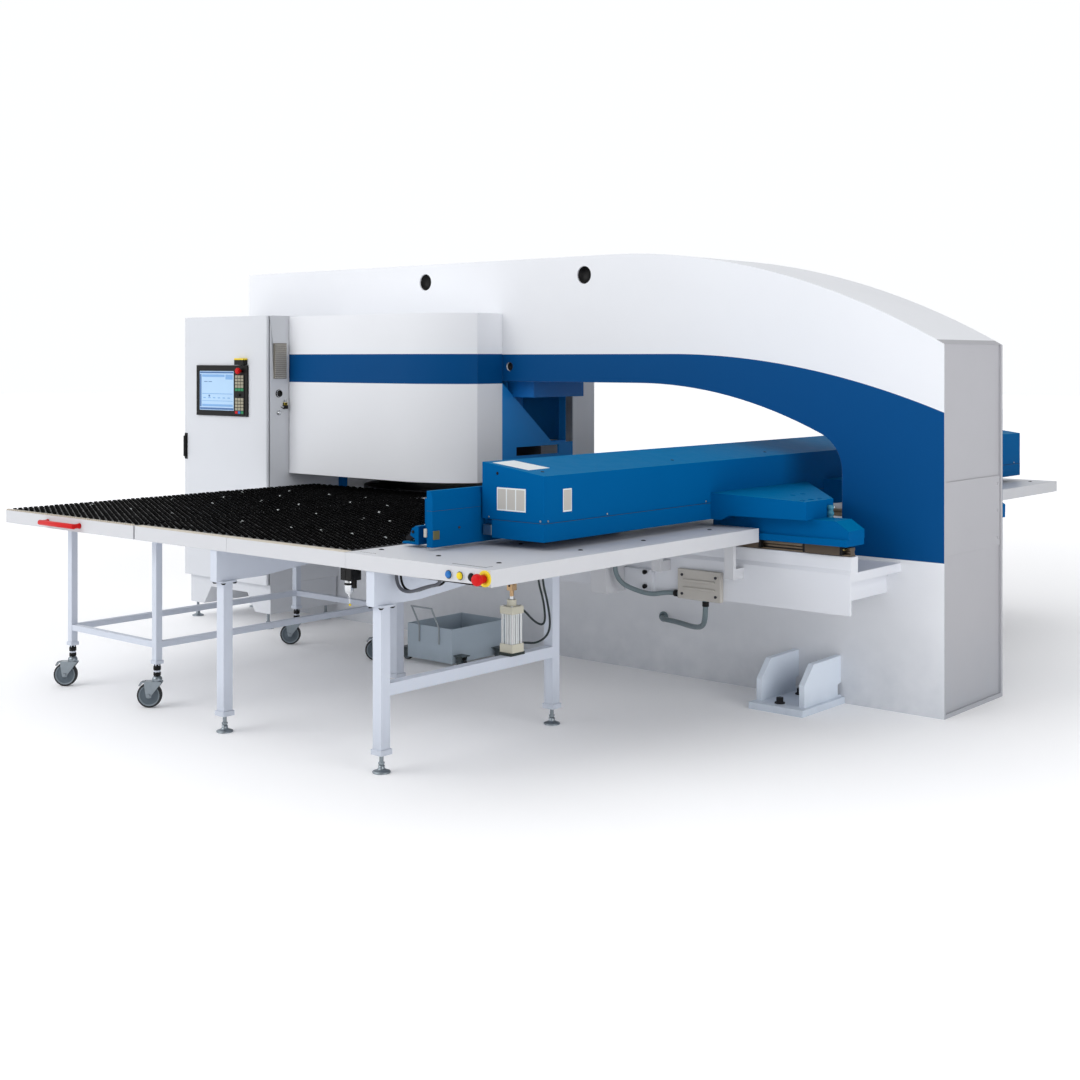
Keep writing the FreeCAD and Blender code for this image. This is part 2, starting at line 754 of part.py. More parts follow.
def make_tables():
    gap = S.joint_gap / 2
    near = (-S.table_near, -S.table_gap)
    far = (S.table_gap, S.table_far_edge)
    clear = S.turret_radius + 40
    plate = panel("plate", (S.plate_left + gap, S.plate_right), near)
    face = -S.table_near
    rings = [bar("estop_collar", (S.estop_x, face - 4, S.button_height), 30, 5, "Y", 16)]
    holes = [bar("estop_hole", (S.estop_x, face - 5, S.button_height),
                 13 + S.running_gap, 12, "Y")]
    for index, offset in enumerate(BUTTONS.values()):
        spot = S.estop_x - offset
        rings.append(bar(f"button_ring_{index}", (spot, face - 5, S.button_height),
                         S.button_radius + 5, 6, "Y"))
        holes.append(bar(f"button_hole_{index}", (spot, face - 6, S.button_height),
                         S.button_radius + S.running_gap, 13, "Y"))
    brackets = [table_bracket(f"plate_bracket_{index}", S.plate_left + x, -1)
                for index, x in enumerate((215, 640))]
    keep("plate_table", cut("plate_table_cut", joined(
        "plate_table_solid", [plate] + rings + brackets), holes))
    right = panel("right", (S.middle_joint + gap, S.plate_left - gap), near)
    face = S.rail_line + S.head_width / 2 + 12.3
    low, top = S.fascia_bottom - 6, S.skirt_bottom + 1
    step, shelf = S.table_gap + 12, S.head_top + 1
    support = prism("right_support", "X", S.plate_left - 104, S.plate_left - 8, mirrored([
        (face, low), (face + 172, low), (face + 172, top), (step, top), (step, shelf),
        (face, shelf),
    ], -1))
    keep("brush_table_right", joined("right_solid", [right, support, table_bracket(
        "right_bracket", S.middle_joint + 160, -1)]))
    left_x = (S.cart_right + S.cart_gap, S.middle_joint - gap)
    keep("brush_table_left", panel("left", left_x, near))
    cart = panel("cart", (S.cart_left, S.cart_right), (-S.table_near, -clear))
    keep("cart_table", joined("cart_table_solid", [cart] + cart_handle()))
    centre_x = (S.bay_right - 8, S.plate_left - gap)
    centre_y = (-S.centre_half, S.centre_half)
    centre = panel("centre", centre_x, centre_y)
    posts = [
        block(f"centre_post_{index}_{side + 1}", (x, x + 40), span(180, 220, side),
              (S.window_bottom, S.skirt_bottom + 1))
        for side in (-1, 1) for index, x in enumerate((S.bay_right + 40, 420, 1000))
    ]
    keep("centre_table", joined("centre_table_solid", [centre] + posts))
    far_plate = panel("far_plate", (S.plate_left + gap, S.plate_right), far)
    far_brush = panel("far_brush", (S.cart_left, S.plate_left - gap), far)
    far_frames = leg_frame("far_right", S.right_leg_x, 1) + leg_frame("far_left", S.left_leg_x, 1)
    far_frames += leg_frame("far_end", S.cart_leg_left, 1)
    far_frames += [table_bracket(f"far_bracket_{index}", x, 1)
                   for index, x in enumerate((S.middle_joint + 160, S.plate_left + 215,
                                              S.plate_left + 640))]
    keep("table_far", joined("table_far_solid", [far_plate, far_brush] + far_frames))
    margin = 44
    side_margin = 10
    fields = [
        brush_field("cart_brush", (S.cart_left + side_margin, S.cart_right - side_margin),
                    (margin - S.table_near, -clear - side_margin)),
        brush_field("left_brush", (left_x[0] + side_margin, S.middle_joint - side_margin),
                    (margin - S.table_near, -S.table_gap - side_margin)),
        brush_field("right_brush", (S.middle_joint + side_margin, S.plate_left - side_margin),
                    (margin - S.table_near, -S.table_gap - side_margin)),
        brush_field("centre_brush", (centre_x[0] + side_margin, centre_x[1] - side_margin),
                    (side_margin - S.centre_half, S.centre_half - side_margin)),
        brush_field("far_brush_field", (S.cart_left + side_margin, S.plate_left - side_margin),
                    (S.table_gap + side_margin, S.table_far_edge - margin)),
    ]
    keep("brush_strips", grouped("brush_fields", fields))


def table_bracket(name, x, side):
    """A bent support from a casting's fascia up under a table's top."""
    face = S.rail_line + S.head_width / 2 + 12.3
    step = S.table_gap + 12
    low = S.flange_bottom - 30
    return prism(name, "X", x, x + 50, mirrored([
        (face, low), (step + 24, low), (step + 24, S.skirt_bottom + 1),
        (step, S.skirt_bottom + 1), (step, low + 50), (face, low + 50),
    ], side))


def cart_handle():
    """The pull handle on the auxiliary table's skirt: a bar on two stand-offs."""
    height = S.skirt_bottom + 32
    left, right = S.cart_left + 394, S.cart_left + 703
    out = -S.table_near - 40
    grip = bar("handle_grip_bar", (left, out, height), 11, right - left, "X")
    posts = [
        bar(f"handle_post_{index}", (x, out, height), 9, 42, "Y", 8)
        for index, x in enumerate((left + 11, right - 11))
    ]
    return [grip] + posts


def leg_frame(name, x, side, cross=False):
    """Two square legs under a tapered box beam, bolted through a collar plate."""
    half = S.leg_tube / 2
    width = S.corbel_width / 2
    low = S.skirt_bottom - S.corbel_depth
    top = S.skirt_bottom
    back = S.back_leg_y - 90
    side_view = [
        (S.corbel_front, low), (S.front_leg_y - 195, low), (back, S.skirt_bottom - 45),
        (back, top), (S.corbel_front, top),
    ]
    corbel = prism(f"{name}_corbel", "X", x - width, x + width, mirrored(side_view, side))
    pieces = [corbel]
    for index, y in enumerate((S.front_leg_y, S.back_leg_y)):
        leg_top = low if index == 0 else S.skirt_bottom - 30
        pieces.append(block(f"{name}_leg_{index}", (x - half, x + half),
                            span(y - half, y + half, side), (S.foot_height + 20, leg_top + 1)))
        collar = half + 6
        pieces.append(block(f"{name}_collar_{index}", (x - collar, x + collar),
                            span(y - collar, y + collar, side),
                            (S.foot_height, S.foot_height + 22)))
    head = half + 14
    pieces.append(block(f"{name}_head", (x - head, x + head),
                        span(S.front_leg_y - head, S.front_leg_y + head, side),
                        (low - 8, low + 0.5)))
    if cross:
        pieces.append(block(f"{name}_cross", (x - half, x + half),
                            span(S.back_leg_y, S.front_leg_y, side),
                            (S.crossbar_top - S.leg_tube, S.crossbar_top)))
    return pieces


def make_legs():
    keep("leg_frame_right",
         joined("right_frame_solid", leg_frame("right_frame", S.right_leg_x, -1, cross=True)))
    keep("leg_frame_left",
         joined("left_frame_solid", leg_frame("left_frame", S.left_leg_x, -1)))


def make_levelling_feet():
    """Swivel feet on threaded stems, under the legs and under the cabinet."""
    tall = S.foot_height
    spots = []
    for y in (S.front_leg_y, S.back_leg_y):
        spots += [(S.right_leg_x, -y, tall), (S.left_leg_x, -y, tall)]
        spots += [(S.right_leg_x, y, tall), (S.left_leg_x, y, tall), (S.cart_leg_left, y, tall)]
    inset = 60
    for x in (S.cabinet_left + inset, S.cabinet_right - inset):
        spots.append((x, -S.cabinet_front + inset, S.plinth_foot))
        spots.append((x, -S.frame_thickness / 2 - inset, S.plinth_foot))
    feet = []
    for index, (x, y, height) in enumerate(spots):
        disc = bar(f"foot_disc_{index}", (x, y, 0), 38, 14, "Z", 10)
        stem = bar(f"foot_stem_{index}", (x, y, 13), 11, height - 13, "Z", 6)
        feet.append(joined(f"levelling_foot_{index}", [disc, stem]))
    keep("levelling_feet", grouped("levelling_foot_set", feet))


# ---------------------------------------------------------------- auxiliary table
CASTER_TURN = 40.7


def cart_legs():
    for x in (S.cart_leg_left, S.cart_leg_right):
        for y in (S.cart_leg_front, S.cart_leg_back):
            yield x, y


def make_cart_frame():
    half = S.cart_tube / 2
    fork_top = S.wheel_radius * 2 + S.fork_clearance
    pieces = []
    for index, (x, y) in enumerate(cart_legs()):
        pieces.append(block(f"cart_leg_{index}", (x - half, x + half), (-y - half, half - y),
                            (S.cart_leg_bottom, S.skirt_bottom)))
        pieces.append(block(f"cart_collar_{index}", (x - half - 5, x + half + 5),
                            (-y - half - 5, half + 5 - y),
                            (S.cart_leg_bottom - 1, S.cart_leg_bottom + 16)))
        pieces.append(bar(f"cart_stem_{index}", (x, -y, fork_top - 24), 8, 26))
        pieces.append(bar(f"cart_nut_{index}", (x, -y, fork_top + 0.3), 16,
                          S.cart_leg_bottom - fork_top, "Z", 6))
    low, high = S.cart_bar_top - 30, S.cart_bar_top
    for index, x in enumerate((S.cart_leg_left, S.cart_leg_right)):
        pieces.append(block(f"cart_rail_{index}", (x - 15, x + 15),
                            (-S.cart_leg_front, -S.cart_leg_back), (low, high)))
    for index, y in enumerate((S.cart_leg_front, S.cart_leg_back)):
        pieces.append(block(f"cart_cross_{index}", (S.cart_leg_left, S.cart_leg_right),
                            (-y - 15, 15 - y), (low, high)))
    x = S.cart_leg_right
    pieces.append(block("cart_joint_plate", (x - 85, x + 95),
                        (-S.cart_leg_front - 40, 50 - S.cart_leg_front),
                        (S.skirt_bottom - 11, S.skirt_bottom)))
    keep("cart_frame", joined("cart_frame_solid", pieces))


def make_casters():
    """Stem casters, all swivelled alike: a fork with a brake pedal, and its wheel."""
    axle = S.wheel_radius
    top = axle * 2 + S.fork_clearance
    half = S.wheel_width / 2
    out = -S.caster_trail
    turn = FreeCAD.Rotation(Z_AXIS, CASTER_TURN)
    for index, (x, y) in enumerate(cart_legs(), start=1):
        head = bar(f"fork_{index}_head", (0, 0, top - 26), 24, 26, "Z", 8)
        crown = block(f"fork_{index}_crown", (out - 22, 24), (-half - 7, half + 7),
                      (top - 30, top - 24))
        cheek = [
            (24, top - 24), (out + 13, axle - 13), (out - 13, axle - 13), (out - 22, top - 24),
        ]
        cheeks = [
            prism(f"fork_{index}_cheek_{number}", "Y", low, low + 4, cheek)
            for number, low in enumerate((-half - 7, half + 3))
        ]
        pin = bar(f"fork_{index}_pin", (out, -half - 5, axle), 6, S.wheel_width + 10, "Y", 8)
        pedal = prism(f"fork_{index}_pedal", "Y", -15, 15, [
            (out - 20, top - 30), (out - 20, top - 22), (out - 42, top - 26), (out - 52, top - 46),
            (out - 44, top - 48), (out - 38, top - 34),
        ])
        bore = rod(f"fork_{index}_bore", (0, 0, top - 25), 8 + S.shaft_clearance, 26)
        body = cut(f"fork_{index}", joined(
            f"fork_{index}_solid", [head, crown, pin, pedal] + cheeks), [bore])
        place(body, (x, -y, 0), turn)
        keep(f"caster_fork_{index}", body)
        wheel = make_wheel(f"wheel_{index}", axle, S.wheel_width, 6 + S.shaft_clearance)
        angle = math.radians(CASTER_TURN)
        place(wheel, (x + out * math.cos(angle), out * math.sin(angle) - y, axle), turn)
        keep(f"caster_wheel_{index}", wheel)


def make_wheel(name, radius, width, bore):
    """A wheel of many sides, bored along Y."""
    half = width / 2
    tyre = bar(f"{name}_tyre", (0, -half, 0), radius, width, "Y", 24)
    hole = rod(f"{name}_bore", (0, -half - 1, 0), bore, width + 2, "Y")
    return cut(name, tyre, [hole])


# ---------------------------------------------------------------- control cabinet
def make_cabinet():
    wall = S.cabinet_wall
    back = -S.frame_thickness / 2 - 0.3
    front = S.door_thickness + 0.3 - S.cabinet_front
    x = (S.cabinet_left, S.cabinet_right)
    outer = block("cabinet_outer", x, (front, back), (S.cabinet_bottom, S.cabinet_top))
    inner = block("cabinet_inner", (S.cabinet_left + wall, S.cabinet_right - wall),
                  (front - 1, back - wall), (S.cabinet_bottom + wall, S.cabinet_top - wall))
    shell = cut("cabinet_shell", outer, [inner])
    floor = S.plinth_foot
    top = S.cabinet_bottom
    skirt = [
        (S.cabinet_left + 20, floor), (S.cabinet_left + 160, floor), (S.cabinet_left + 235, 210),
        (S.cabinet_right - 235, 210), (S.cabinet_right - 160, floor),
        (S.cabinet_right - 8, floor), (S.cabinet_right - 8, top), (S.cabinet_left + 20, top),
    ]
    plinth = prism("plinth", "Y", front + 10, back - 10, skirt)
    mounting = block("mounting_plate", (S.cabinet_left + 60, S.cabinet_right - 60),
                     (back - wall - 6, back - wall + 1),
                     (S.cabinet_bottom + 60, S.cabinet_top - 60))
    side = S.cabinet_right - 1
    fittings = [
        bar("side_cap", (side, -820, 1465), 24, 11, "X"),
        bar("side_lock", (side, -822, 1345), 14, 7, "X", 8),
        bar("side_lock_barrel", (side, -822, 1345), 8, 17, "X", 6),
    ]
    louvres = [
        prism(f"louvre_{index}", "Y", -860, -770, [
            (side, 1562 + index * 36), (side + 13, 1562 + index * 36), (side, 1589 + index * 36),
        ])
        for index in range(6)
    ]
    keep("cabinet_body", joined(
        "cabinet_solid", [shell, mounting, plinth] + fittings + louvres))


def make_cabinet_door():
    """The door rolled round its hinge, the operator panel, its stop button and the handle."""
    front = -S.cabinet_front
    gap = 2
    roll = S.door_thickness / 2
    low, high = S.cabinet_bottom + gap, S.cabinet_top - gap
    hinge = S.cabinet_right - gap - roll
    leaf = block("door_leaf", (S.cabinet_left + gap, hinge), (front, front + S.door_thickness),
                 (low, high))
    edge = rod("door_roll", (hinge, front + roll, low), roll, high - low)
    door = joined("door_sheet", [leaf, edge])
    panel_x = (S.cabinet_left + 140, S.cabinet_left + 661)
    panel_z = (1318, 1640)
    socket = block("door_socket", (panel_x[0] + 20, panel_x[1] - 20), (front - 1, front + 12),
                   (panel_z[0] + 20, panel_z[1] - 20))
    keep("cabinet_door", cut("door_cut", door, [socket]))
    bezel = block("panel_bezel", panel_x, (front - 12, front), panel_z)
    neck = block("panel_neck", (panel_x[0] + 21, panel_x[1] - 21), (front - 1, front + 11),
                 (panel_z[0] + 21, panel_z[1] - 21))
    screen = block("panel_screen", (panel_x[0] + 30, panel_x[0] + 385), (front - 13, front - 8),
                   (panel_z[0] + 33, panel_z[0] + 287))
    frame = cut("panel_frame", bezel, [screen])
    switch = block("panel_switch", (panel_x[1] - 103, panel_x[1] - 13), (front - 34, front),
                   (panel_z[1] + 2, panel_z[1] + 44))
    stop_x = panel_x[1] - 65
    stop_z = panel_z[0] + 287
    shank = 9 + S.running_gap
    hole = bar("stop_hole", (stop_x, front - 14, stop_z), shank, 24, "Y")
    panel = cut("panel_holed", joined("panel_joined", [frame, neck]), [hole])
    keys = []
    for row in range(5):
        for column in range(2):
            low = panel_z[0] + 20 + row * 46
            left = stop_x - 34 + column * 36
            keys.append(block(f"key_{row}_{column}", (left, left + 31), (front - 15, front - 11),
                              (low, low + 36)))
    keep("operator_panel", joined("operator_panel_solid", [panel, switch] + keys))
    keep("panel_estop", joined("panel_stop", [
        bar("panel_stop_shank", (stop_x, front - 30, stop_z), 9, 27, "Y"),
        bar("panel_stop_head", (stop_x, front - 40, stop_z), 20, 12, "Y", 16),
        bar("panel_stop_crown", (stop_x, front - 45, stop_z), 16, 6, "Y", 16),
    ]))
    barrel = 2.4
    plate = block("handle_plate", (S.cabinet_left + 4, S.cabinet_left + 30),
                  (front - 0.4 - 2 * barrel, front - 0.4), (1029, 1195))
    pivot = rod("handle_pivot", (S.cabinet_left + 4, front - 0.4 - barrel, 1195), barrel, 26, "X")
    grip = prism("handle_grip", "Z", 1045, 1180, [
        (S.cabinet_left + 8, front - 4), (S.cabinet_left + 26, front - 4),
        (S.cabinet_left + 23, front - 20), (S.cabinet_left + 11, front - 20),
    ])
    keep("door_handle", joined("door_handle_solid", [plate, pivot, grip]))


# ---------------------------------------------------------------- beam and carriage
def make_beam():
    """The box beam and the sloping folded cover over it."""
    near, far = -S.beam_near, S.beam_far
    left = S.beam_left + S.beam_step
    foot = block("beam_foot", (left, S.beam_right), (near, far), (S.beam_bottom, S.beam_seam))
    wall = S.sheet
    core = prism("beam_core", "Y", near + wall, far - wall, [
        (S.beam_left + wall, S.beam_seam), (S.beam_right - wall, S.beam_seam),
        (S.beam_right - wall, S.beam_side_top - wall - 1),
        (S.beam_left + wall, S.beam_ridge_top - wall - 1),
    ])
    keep("beam", joined("beam_solid", [foot, core]))
    outer = prism("cover_outer", "Y", near, far, [
        (S.beam_left, S.beam_seam), (S.beam_right, S.beam_seam),
        (S.beam_right, S.beam_side_top), (S.beam_left, S.beam_ridge_top),
    ])
    inner = prism("cover_inner", "Y", near + wall, far - wall, [
        (S.beam_left + wall, S.beam_seam - 1), (S.beam_right - wall, S.beam_seam - 1),
        (S.beam_right - wall, S.beam_side_top - wall - 1),
        (S.beam_left + wall, S.beam_ridge_top - wall - 1),
    ])
    keep("beam_cover", cut("beam_cover_shell", outer, [inner]))


def make_saddle(side, node):
    """A saddle: a chamfered block on two guide shoes, and the raked arm to the beam."""
    line = S.rail_line
    body = prism(f"{node}_block", "Y", *span(line - 72, line + 72, side), [
        (S.saddle_left, S.saddle_bottom + 30), (S.saddle_right, S.saddle_bottom + 30),
        (S.saddle_right, S.saddle_top - 42), (S.saddle_right - 66, S.saddle_top),
        (S.beam_right, S.saddle_top), (S.beam_right, S.beam_bottom),
        (S.saddle_left, S.beam_bottom),
    ])
    plate = block(f"{node}_plate", (S.saddle_left, S.saddle_right - 6),
                  span(line - 80, line + 84, side), (S.saddle_bottom, S.saddle_bottom + 31))
    half = S.rail_width / 2
    low = S.head_top
    gap = 0.5
    channel = [
        (line - 50, S.saddle_bottom + 1), (line + 50, S.saddle_bottom + 1), (line + 50, low + 5),
        (line + half + gap, low + 5), (line + half + gap, low + S.rail_height + gap),
        (line - half - gap, low + S.rail_height + gap), (line - half - gap, low + 5),
        (line - 50, low + 5),
    ]
    shoes = [
        prism(f"{node}_shoe_{index}", "X", start, start + 180, mirrored(channel, side))
        for index, start in enumerate((S.saddle_left + 60, S.saddle_right - 240))
    ]
    plan = prism(f"{node}_arm_plan", "Z", S.beam_bottom - 5, S.saddle_top + 130, [
        (S.beam_right, side * size(960)), (S.arm_right, side * size(900)),
        (S.arm_right, side * size(655)), (S.beam_right, side * size(85)),
    ])
    taper = prism(f"{node}_arm_side", "Y", *span(60, 980, side), [
        (S.beam_right, S.beam_bottom), (S.beam_right + 54, S.beam_bottom),
        (S.beam_right + 94, S.saddle_top), (S.arm_right, S.saddle_top),
        (S.arm_right, S.saddle_top + 83), (S.beam_right, S.saddle_top + 103),
    ])
    arm = common(f"{node}_arm", plan, taper)
    joined_arm = joined(f"{node}_casting", [body, plate, arm] + shoes)
    bolts = [
        (S.arm_right - 45, 855), (S.arm_right - 45, 780), (S.arm_right - 45, 705),
        (S.arm_right - 190, 700), (S.arm_right - 190, 610),
    ]
    holes = [
        bar(f"{node}_bore_{index}", (x, side * size(y), S.saddle_top + 70), 15, 60, "Z", 6)
        for index, (x, y) in enumerate(bolts)
    ]
    keep(node, cut(f"{node}_bored", joined_arm, holes))


CLAMPS = (2380, 1500)


def make_carriage():
    """The carriage along the beam: cover panel, slide block, guide shoe and clamp bases."""
    near, back = -S.carriage_near, -S.carriage_back
    skin = prism("carriage_skin", "Y", near, back, [
        (S.carriage_right - 34, S.carriage_bottom), (S.carriage_right, S.carriage_bottom),
        (S.carriage_right, S.carriage_top - 28), (S.carriage_right - 14, S.carriage_top),
        (S.carriage_right - 34, S.carriage_top),
    ])
    slide = block("carriage_slide", (S.carriage_left, S.carriage_right - 33),
                  (near + 70, back), (S.carriage_bottom + 20, S.carriage_top - 40))
    shoe_x = (S.carriage_right - 1, S.beam_left + S.beam_step - 0.3)
    shoes = [
        block(f"carriage_shoe_{index}", shoe_x, (low, low + 180),
              (S.beam_bottom + 8, S.beam_seam - 6))
        for index, low in enumerate((-S.beam_near + 30, back - 200))
    ]
    foot = S.carriage_bottom
    bases = []
    for index, y in enumerate(CLAMPS):
        section = [
            (S.carriage_left - S.clamp_reach, foot), (S.carriage_left + 1, foot),
            (S.carriage_left + 1, foot + 78), (S.carriage_left - 22, foot + 78),
            (S.carriage_left - 22, foot + 9), (S.carriage_left - S.clamp_reach, foot + 9),
        ]
        bases.append(prism(f"clamp_base_{index}", "Y", -45 - y, 45 - y, section))
        for number, offset in enumerate((-38, 26)):
            bases.append(prism(f"clamp_ear_{index}_{number}", "Y", offset - y, offset + 12 - y, [
                (S.carriage_left - 21, foot + 20), (S.carriage_left - 21, foot + 76),
                (S.carriage_left - 46, foot + 66), (S.carriage_left - 56, foot + 36),
            ]))
    bores = [
        bar(f"clamp_bore_{index}", (S.carriage_left - 38, -46 - y, foot + 52),
            6.2 + S.shaft_clearance, 92, "Y")
        for index, y in enumerate(CLAMPS)
    ]
    keep("carriage", cut("carriage_bored", joined(
        "carriage_solid", [skin, slide] + shoes + bases), bores))


def make_clamp_jaw(index, y):
    """A clamp's rocking jaw: a nosed lever on its pivot pin."""
    foot = S.carriage_bottom
    tip = S.carriage_left - S.clamp_reach
    lever = prism(f"jaw_{index}_lever", "Y", -25 - y, 25 - y, [
        (tip, foot + 13), (tip + 26, foot + 13), (tip + 44, foot + 22),
        (S.carriage_left - 28, foot + 34), (S.carriage_left - 28, foot + 68),
        (S.carriage_left - 42, foot + 74), (tip + 22, foot + 42), (tip, foot + 26),
    ])
    pin = rod(f"jaw_{index}_pin", (S.carriage_left - 38, -42 - y, foot + 52), 6, 84, "Y")
    keep(f"clamp_jaw_{index}", joined(f"jaw_{index}_solid", [lever, pin]))


# ---------------------------------------------------------------- small equipment
def make_cylinder():
    """The air cylinder on the crossbar: two caps, a ribbed barrel and four tie rods."""
    x, y = S.right_leg_x, -S.cylinder_y
    half = S.cylinder_side / 2
    foot = S.crossbar_top
    top = S.cylinder_top
    pieces = [
        block("cylinder_base", (x - half, x + half), (y - half - 8, y + half + 8),
              (foot, foot + 13)),
        block("cylinder_low_cap", (x - half, x + half), (y - half, y + half),
              (foot + 12, foot + 51)),
        block("cylinder_top_cap", (x - half, x + half), (y - half, y + half), (top - 33, top)),
        bar("cylinder_barrel", (x, y, foot + 50), half - 6, top - foot - 82),
        bar("cylinder_gland", (x, y, top - 1), 22, 30),
    ]
    for index, (side_x, side_y) in enumerate(((-1, -1), (-1, 1), (1, -1), (1, 1))):
        spot = (x + side_x * (half - 9), y + side_y * (half - 9), foot + 50)
        pieces.append(bar(f"tie_rod_{index}", spot, 6, top - foot - 82, "Z", 6))
    body = joined("cylinder_joined", pieces)
    bore = bar("cylinder_bore", (x, y, foot + 70), S.rod_radius + S.shaft_clearance, top - foot)
    keep("cylinder_body", cut("cylinder_bored", body, [bore]))
    stem = bar("rod_stem", (x, y, foot + 90), S.rod_radius, top - foot - 20)
    clevis = block("rod_clevis", (x - 15, x + 15), (y - 17, y + 17), (top + 69, top + 112))
    slot = block("rod_slot", (x - 6, x + 6), (y - 18, y + 18), (top + 86, top + 113))
    pin = bar("rod_pin", (x - 21, y, top + 98), 6, 42, "X", 8)
    keep("cylinder_rod", joined("cylinder_rod_solid", [
        stem, cut("rod_fork", clevis, [slot]), pin]))


def make_air_hoses():
    """Two hoses from the back of the cylinder's caps up to the table's underside."""
    x = S.right_leg_x
    y = -S.cylinder_y + S.cylinder_side / 2
    high = S.cylinder_top - 14
    low = S.crossbar_top + 44
    side = x + 40
    top = S.skirt_bottom
    upper = [
        (x, y, high), (x, y + 26, high), (x + 22, y + 96, high - 78),
        (side - 4, y + 152, high - 96), (side, y + 138, high + 10), (side, y + 88, high + 130),
        (side, y + 88, top),
    ]
    lower = [
        (x, y, low), (x, y + 30, low), (x + 20, y + 120, low - 16),
        (side, y + 184, low + 30), (side + 12, y + 156, low + 150), (side + 12, y + 104, low + 290),
        (side + 12, y + 104, top),
    ]
    keep("air_hoses", grouped("air_hose_pair", [
        tube_route("upper_hose", upper, 5, 6), tube_route("lower_hose", lower, 5, 6)]))


def make_conduits():
    """The junction cover on the fascia, its conduits and the flange on the frame."""
    face = -(S.rail_line + S.head_width / 2 + 12)
    cover = block("junction_cover", (1408, 1660), (face - 28, face), (510, 656))
    ridges = [
        block(f"junction_ridge_{index}", (1440, 1628), (face - 34, face - 27), (z, z + 12))
        for index, z in enumerate((560, 598))
    ]
    screws = [
        bar(f"junction_screw_{index}", (px, face - 31, pz), 6, 4, "Y", 6)
        for index, (px, pz) in enumerate(
            (a, b) for a in (1436, 1632) for b in (536, 628))
    ]
    wall = -S.frame_thickness / 2
    drain = [
        (1566, face - 14, 510), (1566, face - 14, 440), (1500, face + 60, 366),
        (1340, face + 200, 330), (1150, face + 330, 318), (980, wall - 70, 303),
        (957, wall - 12, 302),
    ]
    under = S.skirt_bottom
    feed = [
        (1108, face - 148, under), (1108, face - 148, 650), (1126, face - 126, 575),
        (1180, face - 92, 540), (1265, face - 48, 514), (1340, face - 14, 532),
        (1408, face - 14, 532),
    ]
    cable = [
        (1264, -2600, under), (1264, -2600, 782), (1288, -2600, 744), (1345, -2600, 738),
        (1440, -2600, 772), (1520, -2600, 788), (1520, -2600, under),
    ]
    flange = bar("conduit_flange", (954, wall - 12, 302), 26, 12, "Y")
    keep("wiring", grouped("wiring_set", [
        joined("junction_box", [cover] + ridges + screws),
        joined("drain_conduit", [tube_route("drain_tube", drain, 13, 6), flange]),
        tube_route("feed_conduit", feed, 12, 6),
        tube_route("table_cable", cable, 7, 6),
    ]))


def make_air_valve():
    """The air valve under the skirt joint: a block, a filter bowl and a coil."""
    top = S.skirt_bottom
    x = S.plate_left - 2
    y = -S.table_near + 30
    pieces = [
        block("valve_block", (x - 34, x + 30), (y - 24, y + 34), (top - 52, top)),
        bar("valve_bowl", (x - 6, y, top - 108), 20, 58),
        bar("valve_drain", (x - 6, y, top - 118), 6, 12, "Z", 6),
        bar("valve_coil", (x + 20, y + 6, top - 84), 9, 34, "Z", 8),
    ]
    keep("air_valve", joined("air_valve_solid", pieces))


def make_buttons():
    """The skirt's push buttons and its mushroom stop."""
    face = -S.table_near
    height = S.button_height
    for node, offset in BUTTONS.items():
        x = S.estop_x - offset
        keep(node, joined(f"{node}_solid", [
            bar(f"{node}_cap", (x, face - 11, height), S.button_radius, 13, "Y"),
            bar(f"{node}_crown", (x, face - 14, height), S.button_radius - 3, 4, "Y"),
        ]))
    x = S.estop_x
    keep("skirt_estop", joined("skirt_stop_solid", [
        bar("skirt_stop_shank", (x, face - 38, height), 13, 40, "Y"),
        bar("skirt_stop_head", (x, face - 50, height), 27, 14, "Y", 16),
        bar("skirt_stop_crown", (x, face - 59, height), 21, 10, "Y", 16),
    ]))


GRIP_LEAN = 28


def make_bin():
    """The slug bin: a welded tray, a bent-bar handle and four corner casters."""
    x = (S.bin_left, S.bin_right)
    y = (-S.bin_near, -S.bin_back)
    z = (S.bin_bottom, S.bin_top)
    outer = block("bin_outer", x, y, z)
    inner = block("bin_inner", (x[0] + 4, x[1] - 4), (y[0] + 4, y[1] - 4), (z[0] + 4, z[1] + 1))
    pieces = [cut("bin_tray", outer, [inner])]
    shelf = 2 * S.bin_wheel + 8
    for index, (centre_x, centre_y, inward) in enumerate(bin_casters()):
        back_x = centre_x - inward * 37
        edges = (back_x, centre_x + 32) if inward > 0 else (centre_x - 32, back_x)
        pieces.append(block(f"bin_plate_{index}", edges, (centre_y - 32, centre_y + 32),
                            (shelf, shelf + 5)))
        for ear, offset in enumerate((-22, 18)):
            pieces.append(prism(f"bin_ear_{index}_{ear}", "Y", centre_y + offset,
                                centre_y + offset + 4, [
                (centre_x - 22, shelf + 1), (centre_x - 9, S.bin_wheel - 9),
                (centre_x + 9, S.bin_wheel - 9), (centre_x + 22, shelf + 1)]))
        pin = (centre_x, centre_y - 20, S.bin_wheel)
        pieces.append(bar(f"bin_pin_{index}", pin, 5, 40, "Y", 8))
    keep("scrap_bin", joined("scrap_bin_solid", pieces + bin_grip()))
    for index, (centre_x, centre_y, inward) in enumerate(bin_casters(), start=1):
        wheel = make_wheel(f"bin_roller_{index}", S.bin_wheel, size(24), 5 + S.shaft_clearance)
        place(wheel, (centre_x, centre_y, S.bin_wheel))
        keep(f"bin_wheel_{index}", wheel)


def bin_casters():
    """The casters' places: outside the tray's two sides, near its corners."""
    for centre_x, inward in ((S.bin_right + 36, 1), (S.bin_left - 36, -1)):
        for centre_y in (-S.bin_near + 40, -S.bin_back - 90):
            yield centre_x, centre_y, inward


